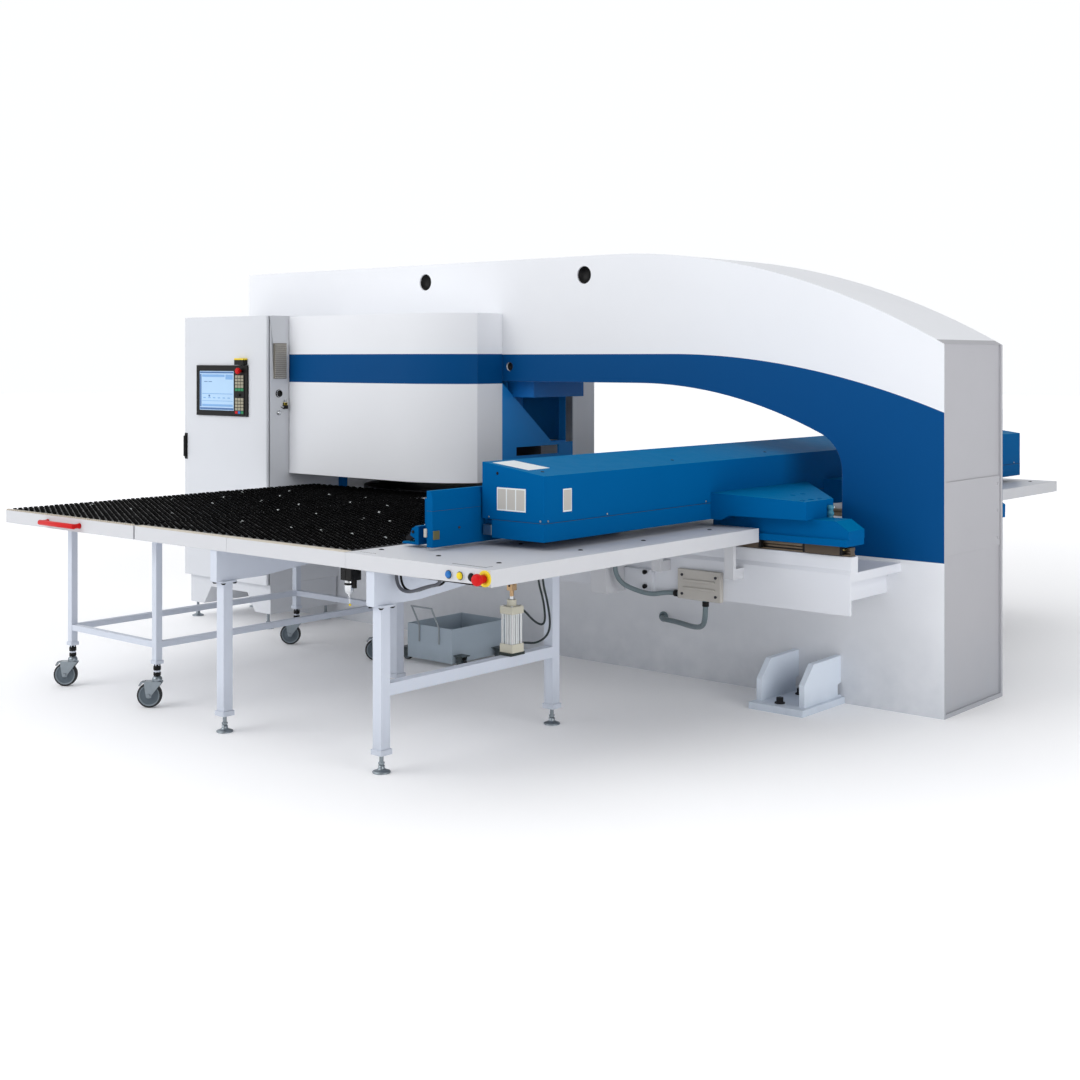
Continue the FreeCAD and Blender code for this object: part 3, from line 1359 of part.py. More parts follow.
def bin_grip():
    """A round bar, welded up the near wall and leaning outwards above the rim."""
    wall = -S.bin_near - 4
    top = S.bin_top
    left, right = S.bin_left + 95, S.bin_left + 247
    bars = []
    for index, x in enumerate((left, right)):
        upright = bar(f"grip_upright_{index}", (x, wall, top - 92), 5, 92, "Z", 6)
        lean = bar(f"grip_lean_{index}", (x, wall, top), 5, 125, "Z", 6)
        lean.Placement.Rotation = FreeCAD.Rotation(X_AXIS, GRIP_LEAN)
        bars += [upright, lean]
    angle = math.radians(GRIP_LEAN)
    out = wall - 125 * math.sin(angle)
    rise = top + 125 * math.cos(angle)
    bars.append(bar("grip_bar", (left - 5, out, rise), 5, right - left + 10, "X", 6))
    return bars


# ---------------------------------------------------------------- build
make_frame()
make_end_panel()
make_anchors()
make_cover(-1, "turret_cover_near")
make_cover(1, "turret_cover_far")
make_bay_panel()
make_ram()
make_turrets()
make_casting(-1, "rail_casting_near")
make_casting(1, "rail_casting_far")
make_rails()
make_tables()
make_legs()
make_levelling_feet()
make_cart_frame()
make_casters()
make_cabinet()
make_cabinet_door()
make_beam()
make_saddle(-1, "saddle_near")
make_saddle(1, "saddle_far")
make_carriage()
for number, spot in enumerate(CLAMPS, start=1):
    make_clamp_jaw(number, spot)
make_cylinder()
make_air_hoses()
make_conduits()
make_air_valve()
make_buttons()
make_bin()
doc.recompute()

# ---------------------------------------------------------------- checks and files
faults = [item.Name for item in doc.Objects if {"Invalid", "Error"} & set(item.State)]
for node in NODES:
    if node.Shape.isNull() or not node.Shape.isValid() or not node.Shape.Solids:
        faults.append(node.Label)
if faults:
    raise RuntimeError("not built: " + ", ".join(faults))
for node in NODES:
    node.Shape.exportStep(f"parts/{node.Label}.step")
print(len(NODES), "parts written")
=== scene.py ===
"""Looks of a turret punch press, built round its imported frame.

Lengths are in metres, apart from the numbers in mm().
"""
import math
import random

import bmesh
import bpy
from mathutils import Matrix, Vector


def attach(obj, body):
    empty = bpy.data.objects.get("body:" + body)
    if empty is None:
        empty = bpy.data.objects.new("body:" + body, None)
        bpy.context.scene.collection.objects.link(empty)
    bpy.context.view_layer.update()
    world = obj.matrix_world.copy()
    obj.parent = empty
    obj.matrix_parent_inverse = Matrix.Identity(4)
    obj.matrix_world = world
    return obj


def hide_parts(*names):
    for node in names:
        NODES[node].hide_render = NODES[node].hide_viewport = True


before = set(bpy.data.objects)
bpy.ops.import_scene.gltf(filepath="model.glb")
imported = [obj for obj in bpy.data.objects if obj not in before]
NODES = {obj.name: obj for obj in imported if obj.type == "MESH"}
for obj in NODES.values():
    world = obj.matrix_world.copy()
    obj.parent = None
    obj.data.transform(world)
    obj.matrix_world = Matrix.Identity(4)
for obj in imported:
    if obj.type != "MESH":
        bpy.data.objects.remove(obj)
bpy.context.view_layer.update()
random.seed(7)

# X runs along the frame and Y along the beam, with the operator on the near side, at -Y
UP, RIGHT, NEAR, FAR = (0, 0, 1), (1, 0, 0), (0, -1, 0), (0, 1, 0)
SQUARE = ((-1, -1), (1, -1), (1, 1), (-1, 1))
TABLE = 0.89  # the table tops, the tips of the bristles on them, and the tables' undersides
TIPS = 0.9
UNDER_TABLE = 0.825
SHOE_TOP = 0.8345  # the guide shoes under the saddles
FLOOR_REACH = 60
SMOOTH_ANGLE = math.radians(32)
BEVEL_ANGLE = math.radians(36)
WELD_GAP = 0.00002
WORN_RADIUS = 0.003


# ---------------------------------------------------------------- camera, light, floor
def add_camera():
    """The photo's camera: level, at eye height, off the machine's corner by the operator."""
    data = bpy.data.cameras.new("camera")
    data.sensor_width = 36
    data.lens = 50
    data.shift_y = -0.1676
    camera = bpy.data.objects.new("camera", data)
    camera.location = (5.686, -6.844, 1.68)
    camera.rotation_euler = (math.radians(90), 0, math.radians(40.7))
    bpy.context.scene.collection.objects.link(camera)
    bpy.context.scene.camera = camera


def add_light(name, spot, target, size, power):
    data = bpy.data.lights.new(name, "AREA")
    data.shape = "RECTANGLE"
    data.size, data.size_y = size
    data.energy = power
    lamp = bpy.data.objects.new(name, data)
    lamp.location = spot
    aim = Vector(target) - Vector(spot)
    lamp.rotation_euler = aim.to_track_quat("-Z", "Y").to_euler()
    bpy.context.scene.collection.objects.link(lamp)


def map_range(tree, value, start, end, low, high):
    """A node that takes a value from start..end to low..high."""
    node = tree.nodes.new("ShaderNodeMapRange")
    for name, number in (("From Min", start), ("From Max", end), ("To Min", low),
                         ("To Max", high)):
        node.inputs[name].default_value = number
    tree.links.new(value, node.inputs["Value"])
    return node


def add_world():
    """A white surround that dims towards +X, and stays bright all round at the horizon."""
    world = bpy.data.worlds.new("studio")
    world.use_nodes = True
    tree = world.node_tree
    background = tree.nodes["Background"]
    background.inputs["Color"].default_value = (0.975, 0.985, 1.0, 1)
    direction = tree.nodes.new("ShaderNodeTexCoord")
    split = tree.nodes.new("ShaderNodeSeparateXYZ")
    tree.links.new(direction.outputs["Generated"], split.inputs[0])
    level = map_range(tree, split.outputs[0], -0.25, 0.75, 1.02, 0.1)
    level.interpolation_type = "SMOOTHSTEP"
    rim = map_range(tree, split.outputs[2], 0.02, 0.22, 1.02, 0.0)
    brighter = tree.nodes.new("ShaderNodeMath")
    brighter.operation = "MAXIMUM"
    for node, socket in zip((level, rim), brighter.inputs):
        tree.links.new(node.outputs["Result"], socket)
    tree.links.new(brighter.outputs[0], background.inputs["Strength"])
    bpy.context.scene.world = world


def add_studio():
    """Soft light from three sides over a white floor that brightens away from the machine."""
    add_world()
    add_light("key", (-3.0, -9.0, 5.5), (0, -0.5, 0.9), (7, 4), 250)
    add_light("fill", (10.0, -3.0, 3.5), (0, -0.4, 1.2), (6, 5), 310)
    add_light("top", (0.5, -1.0, 8.0), (0.5, -1.0, 0), (8, 8), 50)
    mesh = bpy.data.meshes.new("floor")
    corners = [(x * FLOOR_REACH, y * FLOOR_REACH, 0) for x, y in SQUARE]
    mesh.from_pydata(corners, [], [(0, 1, 2, 3)])
    floor = bpy.data.objects.new("floor", mesh)
    bpy.context.scene.collection.objects.link(floor)
    graph = Graph("floor_paint")
    graph.paint((0.985, 0.985, 0.99), rough=0.8, mottle=0.004, scale=0.6, shine=0.1)
    distance = graph.node("ShaderNodeVectorMath", operation="LENGTH")
    graph.link(graph.place.outputs["Object"], distance.inputs[0])
    graph.shader.inputs["Emission Color"].default_value = (1, 1, 1, 1)
    graph.link(graph.ramp(distance.outputs["Value"], 2.0, 9.0, 0.04, 0.38),
               graph.shader.inputs["Emission Strength"])
    mesh.materials.append(graph.material)
    bpy.context.scene.view_settings.view_transform = "Standard"


# ---------------------------------------------------------------- materials
def linear(colour):
    """Scene-linear values of an sRGB colour given from 0 to 1."""
    return tuple(c / 12.92 if c <= 0.04045 else ((c + 0.055) / 1.055) ** 2.4 for c in colour)


class Graph:
    """A node material in the making."""

    def __init__(self, name):
        self.material = bpy.data.materials.new(name)
        self.material.use_nodes = True
        self.tree = self.material.node_tree
        self.shader = self.tree.nodes["Principled BSDF"]
        self.place = self.tree.nodes.new("ShaderNodeTexCoord")

    def node(self, kind, **settings):
        node = self.tree.nodes.new(kind)
        for key, value in settings.items():
            setattr(node, key, value)
        return node

    def link(self, source, target):
        self.tree.links.new(source, target)

    def math(self, operation, first, second=None):
        node = self.node("ShaderNodeMath", operation=operation)
        for socket, value in zip(node.inputs, (first, second)):
            if value is None:
                continue
            if isinstance(value, (int, float)):
                socket.default_value = value
            else:
                self.link(value, socket)
        return node.outputs[0]

    def axes(self, output="Object"):
        split = self.node("ShaderNodeSeparateXYZ")
        self.link(self.place.outputs[output], split.inputs[0])
        return split.outputs

    def noise(self, scale, detail=3.0, stretch=(1, 1, 1)):
        mapping = self.node("ShaderNodeMapping")
        mapping.inputs["Scale"].default_value = stretch
        self.link(self.place.outputs["Object"], mapping.inputs["Vector"])
        noise = self.node("ShaderNodeTexNoise")
        noise.inputs["Scale"].default_value = scale
        noise.inputs["Detail"].default_value = detail
        self.link(mapping.outputs["Vector"], noise.inputs["Vector"])
        return noise.outputs["Fac"]

    def between(self, value, low, high):
        """1 where the value lies between two limits, else 0."""
        return self.math("MULTIPLY", self.math("GREATER_THAN", value, low),
                         self.math("LESS_THAN", value, high))

    def mix(self, factor, first, second):
        """A colour from first to second as factor goes from 0 to 1."""
        node = self.node("ShaderNodeMix", data_type="RGBA")
        sockets = [s for s in node.inputs if s.enabled]
        for socket, value in zip(sockets, (factor, first, second)):
            if isinstance(value, (int, float)):
                socket.default_value = value
            elif isinstance(value, tuple):
                socket.default_value = (*value, 1)
            else:
                self.link(value, socket)
        return [s for s in node.outputs if s.enabled][0]

    def ramp(self, value, start, end, low, high):
        return map_range(self.tree, value, start, end, low, high).outputs["Result"]

    def roughen(self, low, high, scale):
        uneven = self.ramp(self.noise(scale), 0.0, 1.0, low, high)
        self.link(uneven, self.shader.inputs["Roughness"])

    def bump(self, height, strength, distance):
        bump = self.node("ShaderNodeBump")
        bump.inputs["Strength"].default_value = strength
        bump.inputs["Distance"].default_value = distance
        self.link(height, bump.inputs["Height"])
        self.link(bump.outputs["Normal"], self.shader.inputs["Normal"])

    def worn_edges(self, tone, worn, amount):
        """Rubs the paint along the edges, where a rounded normal leaves the true one."""
        geometry = self.node("ShaderNodeNewGeometry")
        rounded = self.node("ShaderNodeBevel", samples=4)
        rounded.inputs["Radius"].default_value = WORN_RADIUS
        compare = self.node("ShaderNodeVectorMath", operation="DOT_PRODUCT")
        self.link(geometry.outputs["True Normal"], compare.inputs[0])
        self.link(rounded.outputs["Normal"], compare.inputs[1])
        edge = self.ramp(compare.outputs["Value"], 0.98, 0.75, 0.0, amount)
        patchy = self.math("MULTIPLY", edge, self.noise(18, 6))
        return self.mix(patchy, tone, worn)

    def paint(self, colour, rough=0.35, mottle=0.014, scale=2.5, areas=(), low_darkening=None, shine=0.3):
        """Sprayed paint with a faint mottle and orange peel.

        Areas are (mask, colour) pairs, and the pair before shine darkens the paint in patches
        towards the floor: the height that it fades out at, and its colour.
        """
        base = linear(colour)
        shade = tuple(c * (1 - mottle * 2) for c in base)
        tone = self.mix(self.noise(scale, 4), shade, tuple(min(1, c * (1 + mottle)) for c in base))
        for mask, other in areas:
            other = linear(other)
            dark = tuple(c * (1 - mottle * 3) for c in other)
            tone = self.mix(mask, tone, self.mix(self.noise(scale, 4), dark, other))
        # a patchy darker tone towards the floor, fading out at the given height
        if low_darkening:
            height, low_tone = low_darkening
            fade = self.ramp(self.axes()[2], 0.0, height, 0.6, 0.0)
            tone = self.mix(self.math("MULTIPLY", fade, self.noise(9, 5)), tone, linear(low_tone))
        tone = self.worn_edges(tone, tuple(c * 0.72 for c in base), 0.5)
        self.link(tone, self.shader.inputs["Base Color"])
        self.shader.inputs["Specular IOR Level"].default_value = shine
        self.roughen(rough - 0.06, rough + 0.08, 14)
        self.bump(self.noise(320, 1), 0.08, 0.0004)
        return self.material

    def metal(self, colour, rough=0.3, grain=(1, 1, 1), scale=60, darken=0.2, areas=()):
        """Bare metal with drawn or brushed grain."""
        base = linear(colour)
        tone = self.mix(self.noise(scale, 5, grain), tuple(c * (1 - darken) for c in base), base)
        for mask, other in areas:
            tone = self.mix(mask, tone, linear(other))
        self.link(tone, self.shader.inputs["Base Color"])
        self.shader.inputs["Metallic"].default_value = 1.0
        self.roughen(rough - 0.08, rough + 0.12, scale)
        self.bump(self.noise(scale * 4, 2, grain), 0.12, 0.0004)
        return self.material

    def plastic(self, colour, rough=0.45, grain=500, mottle=0.05, shine=0.4):
        """Moulded plastic or rubber with a fine spark-eroded grain."""
        base = linear(colour)
        dark = tuple(c * (1 - mottle * 3) for c in base)
        light = tuple(min(1, c * (1 + mottle) + 0.001) for c in base)
        self.link(self.mix(self.noise(7, 4), dark, light), self.shader.inputs["Base Color"])
        self.shader.inputs["Specular IOR Level"].default_value = shine
        self.roughen(rough - 0.08, rough + 0.08, 25)
        self.bump(self.noise(grain, 2), 0.15, 0.0003)
        return self.material


WHITE = (0.915, 0.922, 0.938)
CASTING = (0.865, 0.875, 0.898)
PALE = (0.8, 0.825, 0.872)
BAND = (0.0, 0.285, 0.51)
BRIGHT = (0.0, 0.35, 0.585)
SHOE = (0.36, 0.32, 0.28)


def frame_paint():
    """Pale paint with the blue band on the two big sides, bounded above by a falling arc, and
    painted shade on the end face.
    """
    graph = Graph("frame_paint")
    x, y, z = graph.axes()
    band_foot, band_top, arc_start, arc_radius = 0.727, 1.707, 0.997, 4.548
    side_face, end_edge, shaded_end_face = 0.3225, 0.3235, 2.52
    run = graph.math("MAXIMUM", graph.math("SUBTRACT", x, arc_start), 0.0)
    square = graph.math("SUBTRACT", arc_radius * arc_radius, graph.math("MULTIPLY", run, run))
    edge = graph.math("ADD", graph.math("SQRT", square), band_top - arc_radius)
    side = graph.math("GREATER_THAN", graph.math("ABSOLUTE", y), side_face)
    band = graph.math("MULTIPLY", graph.between(z, band_foot, edge), side)
    # painted shade: the end face gets a darker grey than the rest of the frame
    inner = graph.math("LESS_THAN", graph.math("ABSOLUTE", y), end_edge)
    end = graph.math("MULTIPLY", graph.math("GREATER_THAN", x, shaded_end_face), inner)
    return graph.paint(WHITE, rough=0.5, areas=[(band, BAND), (end, (0.7, 0.7, 0.718))],
                       low_darkening=(0.45, (0.66, 0.69, 0.73)), shine=0.07)


def cover_paint():
    """White paint for the turret covers, with a blue stripe."""
    graph = Graph("cover_paint")
    stripe_foot, stripe_top = 1.536, 1.709
    stripe = graph.between(graph.axes()[2], stripe_foot, stripe_top)
    return graph.paint((0.925, 0.932, 0.948), rough=0.5, areas=[(stripe, BAND)], shine=0.07)


def blue_paint(name, shoe_top=None):
    """Bright blue with a painted highlight on what faces up; below shoe_top it is the guide shoes'
    brown.
    """
    graph = Graph(name)
    # painted highlight: faces that point up get a lighter blue
    top = graph.math("GREATER_THAN", graph.axes("Normal")[2], 0.6)
    shades = [(top, (0.0, 0.43, 0.64))]
    if shoe_top:
        shades.append((graph.math("LESS_THAN", graph.axes()[2], shoe_top), SHOE))
    return graph.paint(BRIGHT, 0.5, mottle=0.03, areas=shades, shine=0.012)


def cylinder_paint():
    """Cream castings on a dark foot, with a paler barrel between them."""
    graph = Graph("cylinder_paint")
    z = graph.axes()[2]
    foot_top, barrel_foot, barrel_top = 0.3752, 0.413, 0.546
    barrel = graph.between(z, barrel_foot, barrel_top)
    foot = graph.math("LESS_THAN", z, foot_top)
    return graph.paint((0.78, 0.765, 0.7), 0.4, areas=[
        (barrel, (0.83, 0.83, 0.83)), (foot, (0.12, 0.16, 0.15))])


def rod_metal():
    """A bright rod, with its clevis above it in a duller tone."""
    graph = Graph("rod_metal")
    clevis_foot = 0.622
    clevis = graph.math("GREATER_THAN", graph.axes()[2], clevis_foot)
    return graph.metal((0.8, 0.81, 0.82), 0.2, areas=[(clevis, (0.66, 0.55, 0.42))])


def bin_paint():
    """Grey enamel, with steel caster plates outside the tray and a plated grip."""
    graph = Graph("bin_paint")
    x, y, _ = graph.axes()
    tray_left, tray_right, grip_back = -0.3175, 0.0275, -0.9955
    fittings = graph.math("MAXIMUM", graph.math("LESS_THAN", x, tray_left),
                          graph.math("GREATER_THAN", x, tray_right))
    grip = graph.math("LESS_THAN", y, grip_back)
    areas = [(fittings, (0.27, 0.31, 0.32)), (grip, (0.62, 0.65, 0.67))]
    return graph.paint((0.7, 0.755, 0.8), 0.42, mottle=0.03, areas=areas,
                       low_darkening=(0.1, (0.4, 0.42, 0.44)))


def ribbed(name, colour, pitch, rough=0.4):
    """A hose or conduit of close rings, which follow its length."""
    graph = Graph(name)
    graph.plastic(colour, rough, 600)
    wave = graph.node("ShaderNodeTexWave", wave_type="BANDS", bands_direction="X")
    wave.inputs["Scale"].default_value = pitch
    graph.link(graph.place.outputs["UV"], wave.inputs["Vector"])
    graph.bump(wave.outputs["Fac"], 0.5, 0.0012)
    return graph.material


def make_palette():
    """One material for each finish on the machine."""
    palette = {
        "frame": frame_paint(),
        "cover": cover_paint(),
        "white": Graph("casting_paint").paint(CASTING, 0.4, shine=0.2),
        "table": Graph("table_paint").paint((0.8, 0.805, 0.82), 0.4, shine=0.2),
        "cabinet": Graph("cabinet_paint").paint((0.835, 0.845, 0.865), 0.45, shine=0.15),
        "pale": Graph("pale_paint").paint(PALE, 0.4, low_darkening=(0.25, (0.6, 0.62, 0.66))),
        "foot": Graph("anchor_foot_paint").paint((0.87, 0.905, 0.95), 0.4,
                                                 low_darkening=(0.12, (0.6, 0.64, 0.7))),
        "blue": blue_paint("bright_blue_paint"),
        "saddle": blue_paint("saddle_paint", SHOE_TOP),
        # painted light: the bay panel and the ram block are a lighter blue than their paint, to
        # stand in for light in the shaded bay
        "band": Graph("bay_blue_painted_light").paint((0.12, 0.52, 0.82), 0.45, shine=0.2),
        "ram_blue": Graph("ram_block_painted_light").paint((0.05, 0.42, 0.72), 0.45, shine=0.2),
        "edge": Graph("edge_strip_metal").paint((0.8, 0.765, 0.7), 0.4, mottle=0.05),
        "beige": Graph("beige_plate").paint((0.735, 0.72, 0.695), 0.5, mottle=0.05),
        "grille": Graph("grille_paint").paint((0.5, 0.485, 0.45), 0.5, mottle=0.04),
        "bin": bin_paint(),
        "cream": cylinder_paint(),
        "rod": rod_metal(),
        "conduit": ribbed("grey_conduit", (0.44, 0.5, 0.52), 26),
    }
    metals = {  # name, colour, roughness, grain, scale, how much darker the grain is
        "steel": ("brushed_steel", (0.72, 0.72, 0.71), 0.34, (1, 12, 1), 60, 0.2),
        "rail": ("ground_rail", (0.47, 0.42, 0.36), 0.34, (14, 1, 1), 60, 0.35),
        "chrome": ("bright_chrome", (0.84, 0.85, 0.86), 0.18, (1, 1, 1), 30, 0.08),
        "zinc": ("zinc_plate", (0.6, 0.635, 0.66), 0.34, (1, 1, 1), 40, 0.25),
        "cast": ("dark_cast_iron", (0.22, 0.22, 0.23), 0.5, (1, 1, 1), 90, 0.4),
        "brass": ("brass", (0.72, 0.62, 0.38), 0.3, (1, 1, 1), 70, 0.2),
    }
    plastics = {  # name, colour, roughness, then grain, mottle and shine where not the usual
        "black": ("black_plastic", (0.045, 0.045, 0.048), 0.45, 500, 0.05, 0.2),
        "bezel": ("bezel_plastic", (0.05, 0.048, 0.048), 0.4, 500, 0.05, 0.2),
        "bristle": ("bristle", (0.052, 0.052, 0.054), 0.7, 220, 0.4, 0.01),
        "tyre": ("dark_tyre", (0.125, 0.135, 0.145), 0.6, 120),
        "hub": ("caster_hub", (0.34, 0.385, 0.42), 0.5, 200),
        "rim": ("caster_rim", (0.48, 0.52, 0.55), 0.5, 200),
        "red": ("red_plastic", (0.8, 0.075, 0.085), 0.4, 500, 0.03, 0.15),
        "yellow": ("yellow_plastic", (0.93, 0.82, 0.12), 0.35),
        "green": ("green_keys", (0.1, 0.52, 0.32), 0.45),
        "dot_blue": ("blue_plastic", (0.05, 0.42, 0.72), 0.3),
        "keys": ("beige_keys", (0.62, 0.6, 0.52), 0.5),
        "olive": ("olive_block", (0.38, 0.37, 0.24), 0.5),
        "hose": ("dark_hose", (0.1, 0.15, 0.16), 0.35, 700),
        "cable": ("grey_cable", (0.33, 0.34, 0.37), 0.45, 500),
        "screen": ("screen_glass", (0.7, 0.83, 0.95), 0.12, 900, 0.02),
        "screen_mid": ("screen_fields", (0.5, 0.68, 0.88), 0.15, 900, 0.03),
        "screen_dark": ("screen_tiles", (0.3, 0.45, 0.66), 0.15, 900, 0.03),
        "card": ("pale_card", (0.88, 0.9, 0.9), 0.4, 600, 0.02),
        "cyan": ("pale_cyan_hose", (0.22, 0.52, 0.62), 0.35, 400),
        "groove": ("dark_groove", (0.2, 0.2, 0.23), 0.6, 300),
    }
    for finish, (name, *look) in metals.items():
        palette[finish] = Graph(name).metal(*look)
    for finish, (name, *look) in plastics.items():
        palette[finish] = Graph(name).plastic(*look)
    return palette


PALETTE = make_palette()


# ---------------------------------------------------------------- carried-over CAD nodes
def smooth_by_angle():
    """A node group that shades smooth except over edges sharper than SMOOTH_ANGLE."""
    group = bpy.data.node_groups.new("smooth_by_angle", "GeometryNodeTree")
    group.interface.new_socket("Geometry", in_out="INPUT", socket_type="NodeSocketGeometry")
    group.interface.new_socket("Geometry", in_out="OUTPUT", socket_type="NodeSocketGeometry")
    start = group.nodes.new("NodeGroupInput")
    end = group.nodes.new("NodeGroupOutput")
    faces = group.nodes.new("GeometryNodeSetShadeSmooth")
    edges = group.nodes.new("GeometryNodeSetShadeSmooth")
    edges.domain = "EDGE"
    edges.inputs["Shade Smooth"].default_value = False
    angle = group.nodes.new("GeometryNodeInputMeshEdgeAngle")
    sharp = group.nodes.new("FunctionNodeCompare")
    sharp.data_type = "FLOAT"
    sharp.operation = "GREATER_THAN"
    sharp.inputs[1].default_value = SMOOTH_ANGLE
    group.links.new(start.outputs[0], faces.inputs["Geometry"])
    group.links.new(faces.outputs[0], edges.inputs["Geometry"])
    group.links.new(angle.outputs["Unsigned Angle"], sharp.inputs[0])
    group.links.new(sharp.outputs[0], edges.inputs["Selection"])
    group.links.new(edges.outputs[0], end.inputs[0])
    return group


SMOOTH = smooth_by_angle()


def dress(node, finish, width):
    """Gives a CAD node its finish, welds its facets' corners and rounds its edges a little."""
    thing = NODES[node]
    thing.data.materials.clear()
    thing.data.materials.append(PALETTE[finish])
    weld = thing.modifiers.new("weld", "WELD")
    weld.merge_threshold = WELD_GAP
    shade = thing.modifiers.new("shade", "NODES")
    shade.node_group = SMOOTH
    if width:
        bevel = thing.modifiers.new("bevel", "BEVEL")
        bevel.width = width
        bevel.segments = 2
        bevel.limit_method = "ANGLE"
        bevel.angle_limit = BEVEL_ANGLE
        bevel.harden_normals = True


def dress_nodes():
    """Every CAD node's finish, and how wide its edges are rounded."""
    rows = (
        ("frame", 0.004, "o_frame"),
        ("frame", 0.0012, "end_panel"),
        ("cover", 0.0015, "turret_cover_near turret_cover_far"),
        ("white", 0.003, "rail_casting_near rail_casting_far"),
        ("table", 0.002, "plate_table brush_table_right brush_table_left cart_table"),
        ("table", 0.002, "centre_table table_far"),
        ("cabinet", 0.002, "cabinet_body"),
        ("cabinet", 0.003, "cabinet_door"),
        ("pale", 0.002, "leg_frame_right leg_frame_left"),
        ("pale", 0.0015, "cart_frame"),
        ("bin", 0.0012, "scrap_bin"),
        ("foot", 0.003, "anchor_feet"),
        ("blue", 0.002, "beam"),
        ("blue", 0.0025, "beam_cover"),
        ("blue", 0.0015, "carriage"),
        ("saddle", 0.003, "saddle_near saddle_far"),
        ("band", 0.001, "bay_panel"),
        ("ram_blue", 0.002, "ram_housing"),
        ("rail", 0.0008, "guide_rails"),
        ("chrome", 0.0008, "levelling_feet"),
        ("chrome", 0.001, "punch_ram"),
        ("rod", 0.0008, "cylinder_rod"),
        ("cast", 0.001, "anchor_bolts clamp_jaw_1 clamp_jaw_2"),
        ("cast", 0, "punch_tools upper_turret lower_turret"),
        ("cream", 0.001, "cylinder_body"),
        ("bezel", 0.001, "operator_panel"),
        ("black", 0.001, "door_handle air_valve"),
        ("black", 0.0006, "button_black"),
        ("red", 0.001, "panel_estop"),
        ("red", 0.0015, "skirt_estop"),
        ("yellow", 0.0006, "button_yellow"),
        ("dot_blue", 0.0006, "button_blue"),
        ("hose", 0, "air_hoses"),
        ("conduit", 0.001, "wiring"),
        ("zinc", 0.0008, "caster_fork_1 caster_fork_2 caster_fork_3 caster_fork_4"),
        ("tyre", 0.001, "caster_wheel_1 caster_wheel_2 caster_wheel_3 caster_wheel_4"),
        ("tyre", 0.0008, "bin_wheel_1 bin_wheel_2 bin_wheel_3 bin_wheel_4"),
    )
    for finish, width, nodes in rows:
        for node in nodes.split():
            dress(node, finish, width)


# ---------------------------------------------------------------- mesh pieces
def piece(name, shape, finishes, body):
    """A visual piece from a bmesh or a curve, with one finish or a list by face index."""
    data = shape
    if isinstance(shape, bmesh.types.BMesh):
        data = bpy.data.meshes.new(name)
        shape.normal_update()
        shape.to_mesh(data)
        shape.free()
    thing = bpy.data.objects.new(name, data)
    bpy.context.scene.collection.objects.link(thing)
    for finish in [finishes] if isinstance(finishes, str) else finishes:
        data.materials.append(PALETTE[finish])
    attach(thing, body)
    return thing


def finish_faces(bm, corners, faces, bevel, index):
    """Bevels the edges at some new corners and gives their faces a material index."""
    if bevel:
        edges = list({edge for corner in corners for edge in corner.link_edges})
        made = bmesh.ops.bevel(bm, geom=edges, offset=bevel, segments=2, affect="EDGES",
                               profile=0.5, clamp_overlap=True)
        faces = {face for face in faces if face.is_valid} | set(made["faces"])
    for face in faces:
        face.material_index = index
    return list(faces)


def add_block(bm, low, high, bevel=0.0, index=0):
    """A block in a bmesh, from its lowest to its highest corner."""
    size = [b - a for a, b in zip(low, high)]
    middle = [(a + b) / 2 for a, b in zip(low, high)]
    matrix = Matrix.Translation(middle) @ Matrix.Diagonal((*size, 1))
    corners = bmesh.ops.create_cube(bm, size=1, matrix=matrix)["verts"]
    faces = {face for corner in corners for face in corner.link_faces}
    finish_faces(bm, corners, faces, bevel, index)


def add_turned(bm, profile, matrix, sides=20, index=0):
    """(radius, height) pairs spun about a matrix's Z axis; index is one for all or a list."""
    rings = []
    for radius, height in profile:
        if not radius:
            rings.append([bm.verts.new(matrix @ Vector((0, 0, height)))])
            continue
        rings.append([
            bm.verts.new(matrix @ Vector((radius * math.cos(a), radius * math.sin(a), height)))
            for a in (2 * math.pi * step / sides for step in range(sides))
        ])
    indices = index if isinstance(index, (list, tuple)) else [index] * (len(rings) - 1)
    for first, second, slot in zip(rings, rings[1:], indices):
        for step in range(sides):
            after = (step + 1) % sides
            if len(first) == 1:
                corners = (first[0], second[step], second[after])
            elif len(second) == 1:
                corners = (first[step], first[after], second[0])
            else:
                corners = (first[step], first[after], second[after], second[step])
            face = bm.faces.new(corners)
            face.material_index = slot
            face.smooth = sides > 8


def add_slab(bm, outline, low, high, matrix, bevel=0.0, index=0):
    """An outline in a matrix's own XZ plane, made thick along its Y axis."""
    near = [bm.verts.new(matrix @ Vector((x, low, z))) for x, z in outline]
    far = [bm.verts.new(matrix @ Vector((x, high, z))) for x, z in outline]
    faces = [bm.faces.new(near), bm.faces.new(list(reversed(far)))]
    count = len(outline)
    for step in range(count):
        after = (step + 1) % count
        faces.append(bm.faces.new((near[after], near[step], far[step], far[after])))
    faces = finish_faces(bm, near + far, faces, bevel, index)
    bmesh.ops.recalc_face_normals(bm, faces=faces)


def aimed(spot, axis):
    """A matrix at a spot whose Z axis points along an axis."""
    turn = Vector(UP).rotation_difference(Vector(axis)).to_matrix().to_4x4()
    return Matrix.Translation(spot) @ turn


def plates(name, boxes, finish, body, bevel=0.0008):
    """Several bevelled plates in one piece."""
    bm = bmesh.new()
    for low, high in boxes:
        add_block(bm, low, high, bevel)
    return piece(name, bm, finish, body)


def buttons(name, profile, spots, axis, finish, body, sides=18):
    """Several like turned pieces in one piece."""
    bm = bmesh.new()
    for spot in spots:
        add_turned(bm, profile, aimed(spot, axis), sides)
    return piece(name, bm, finish, body)


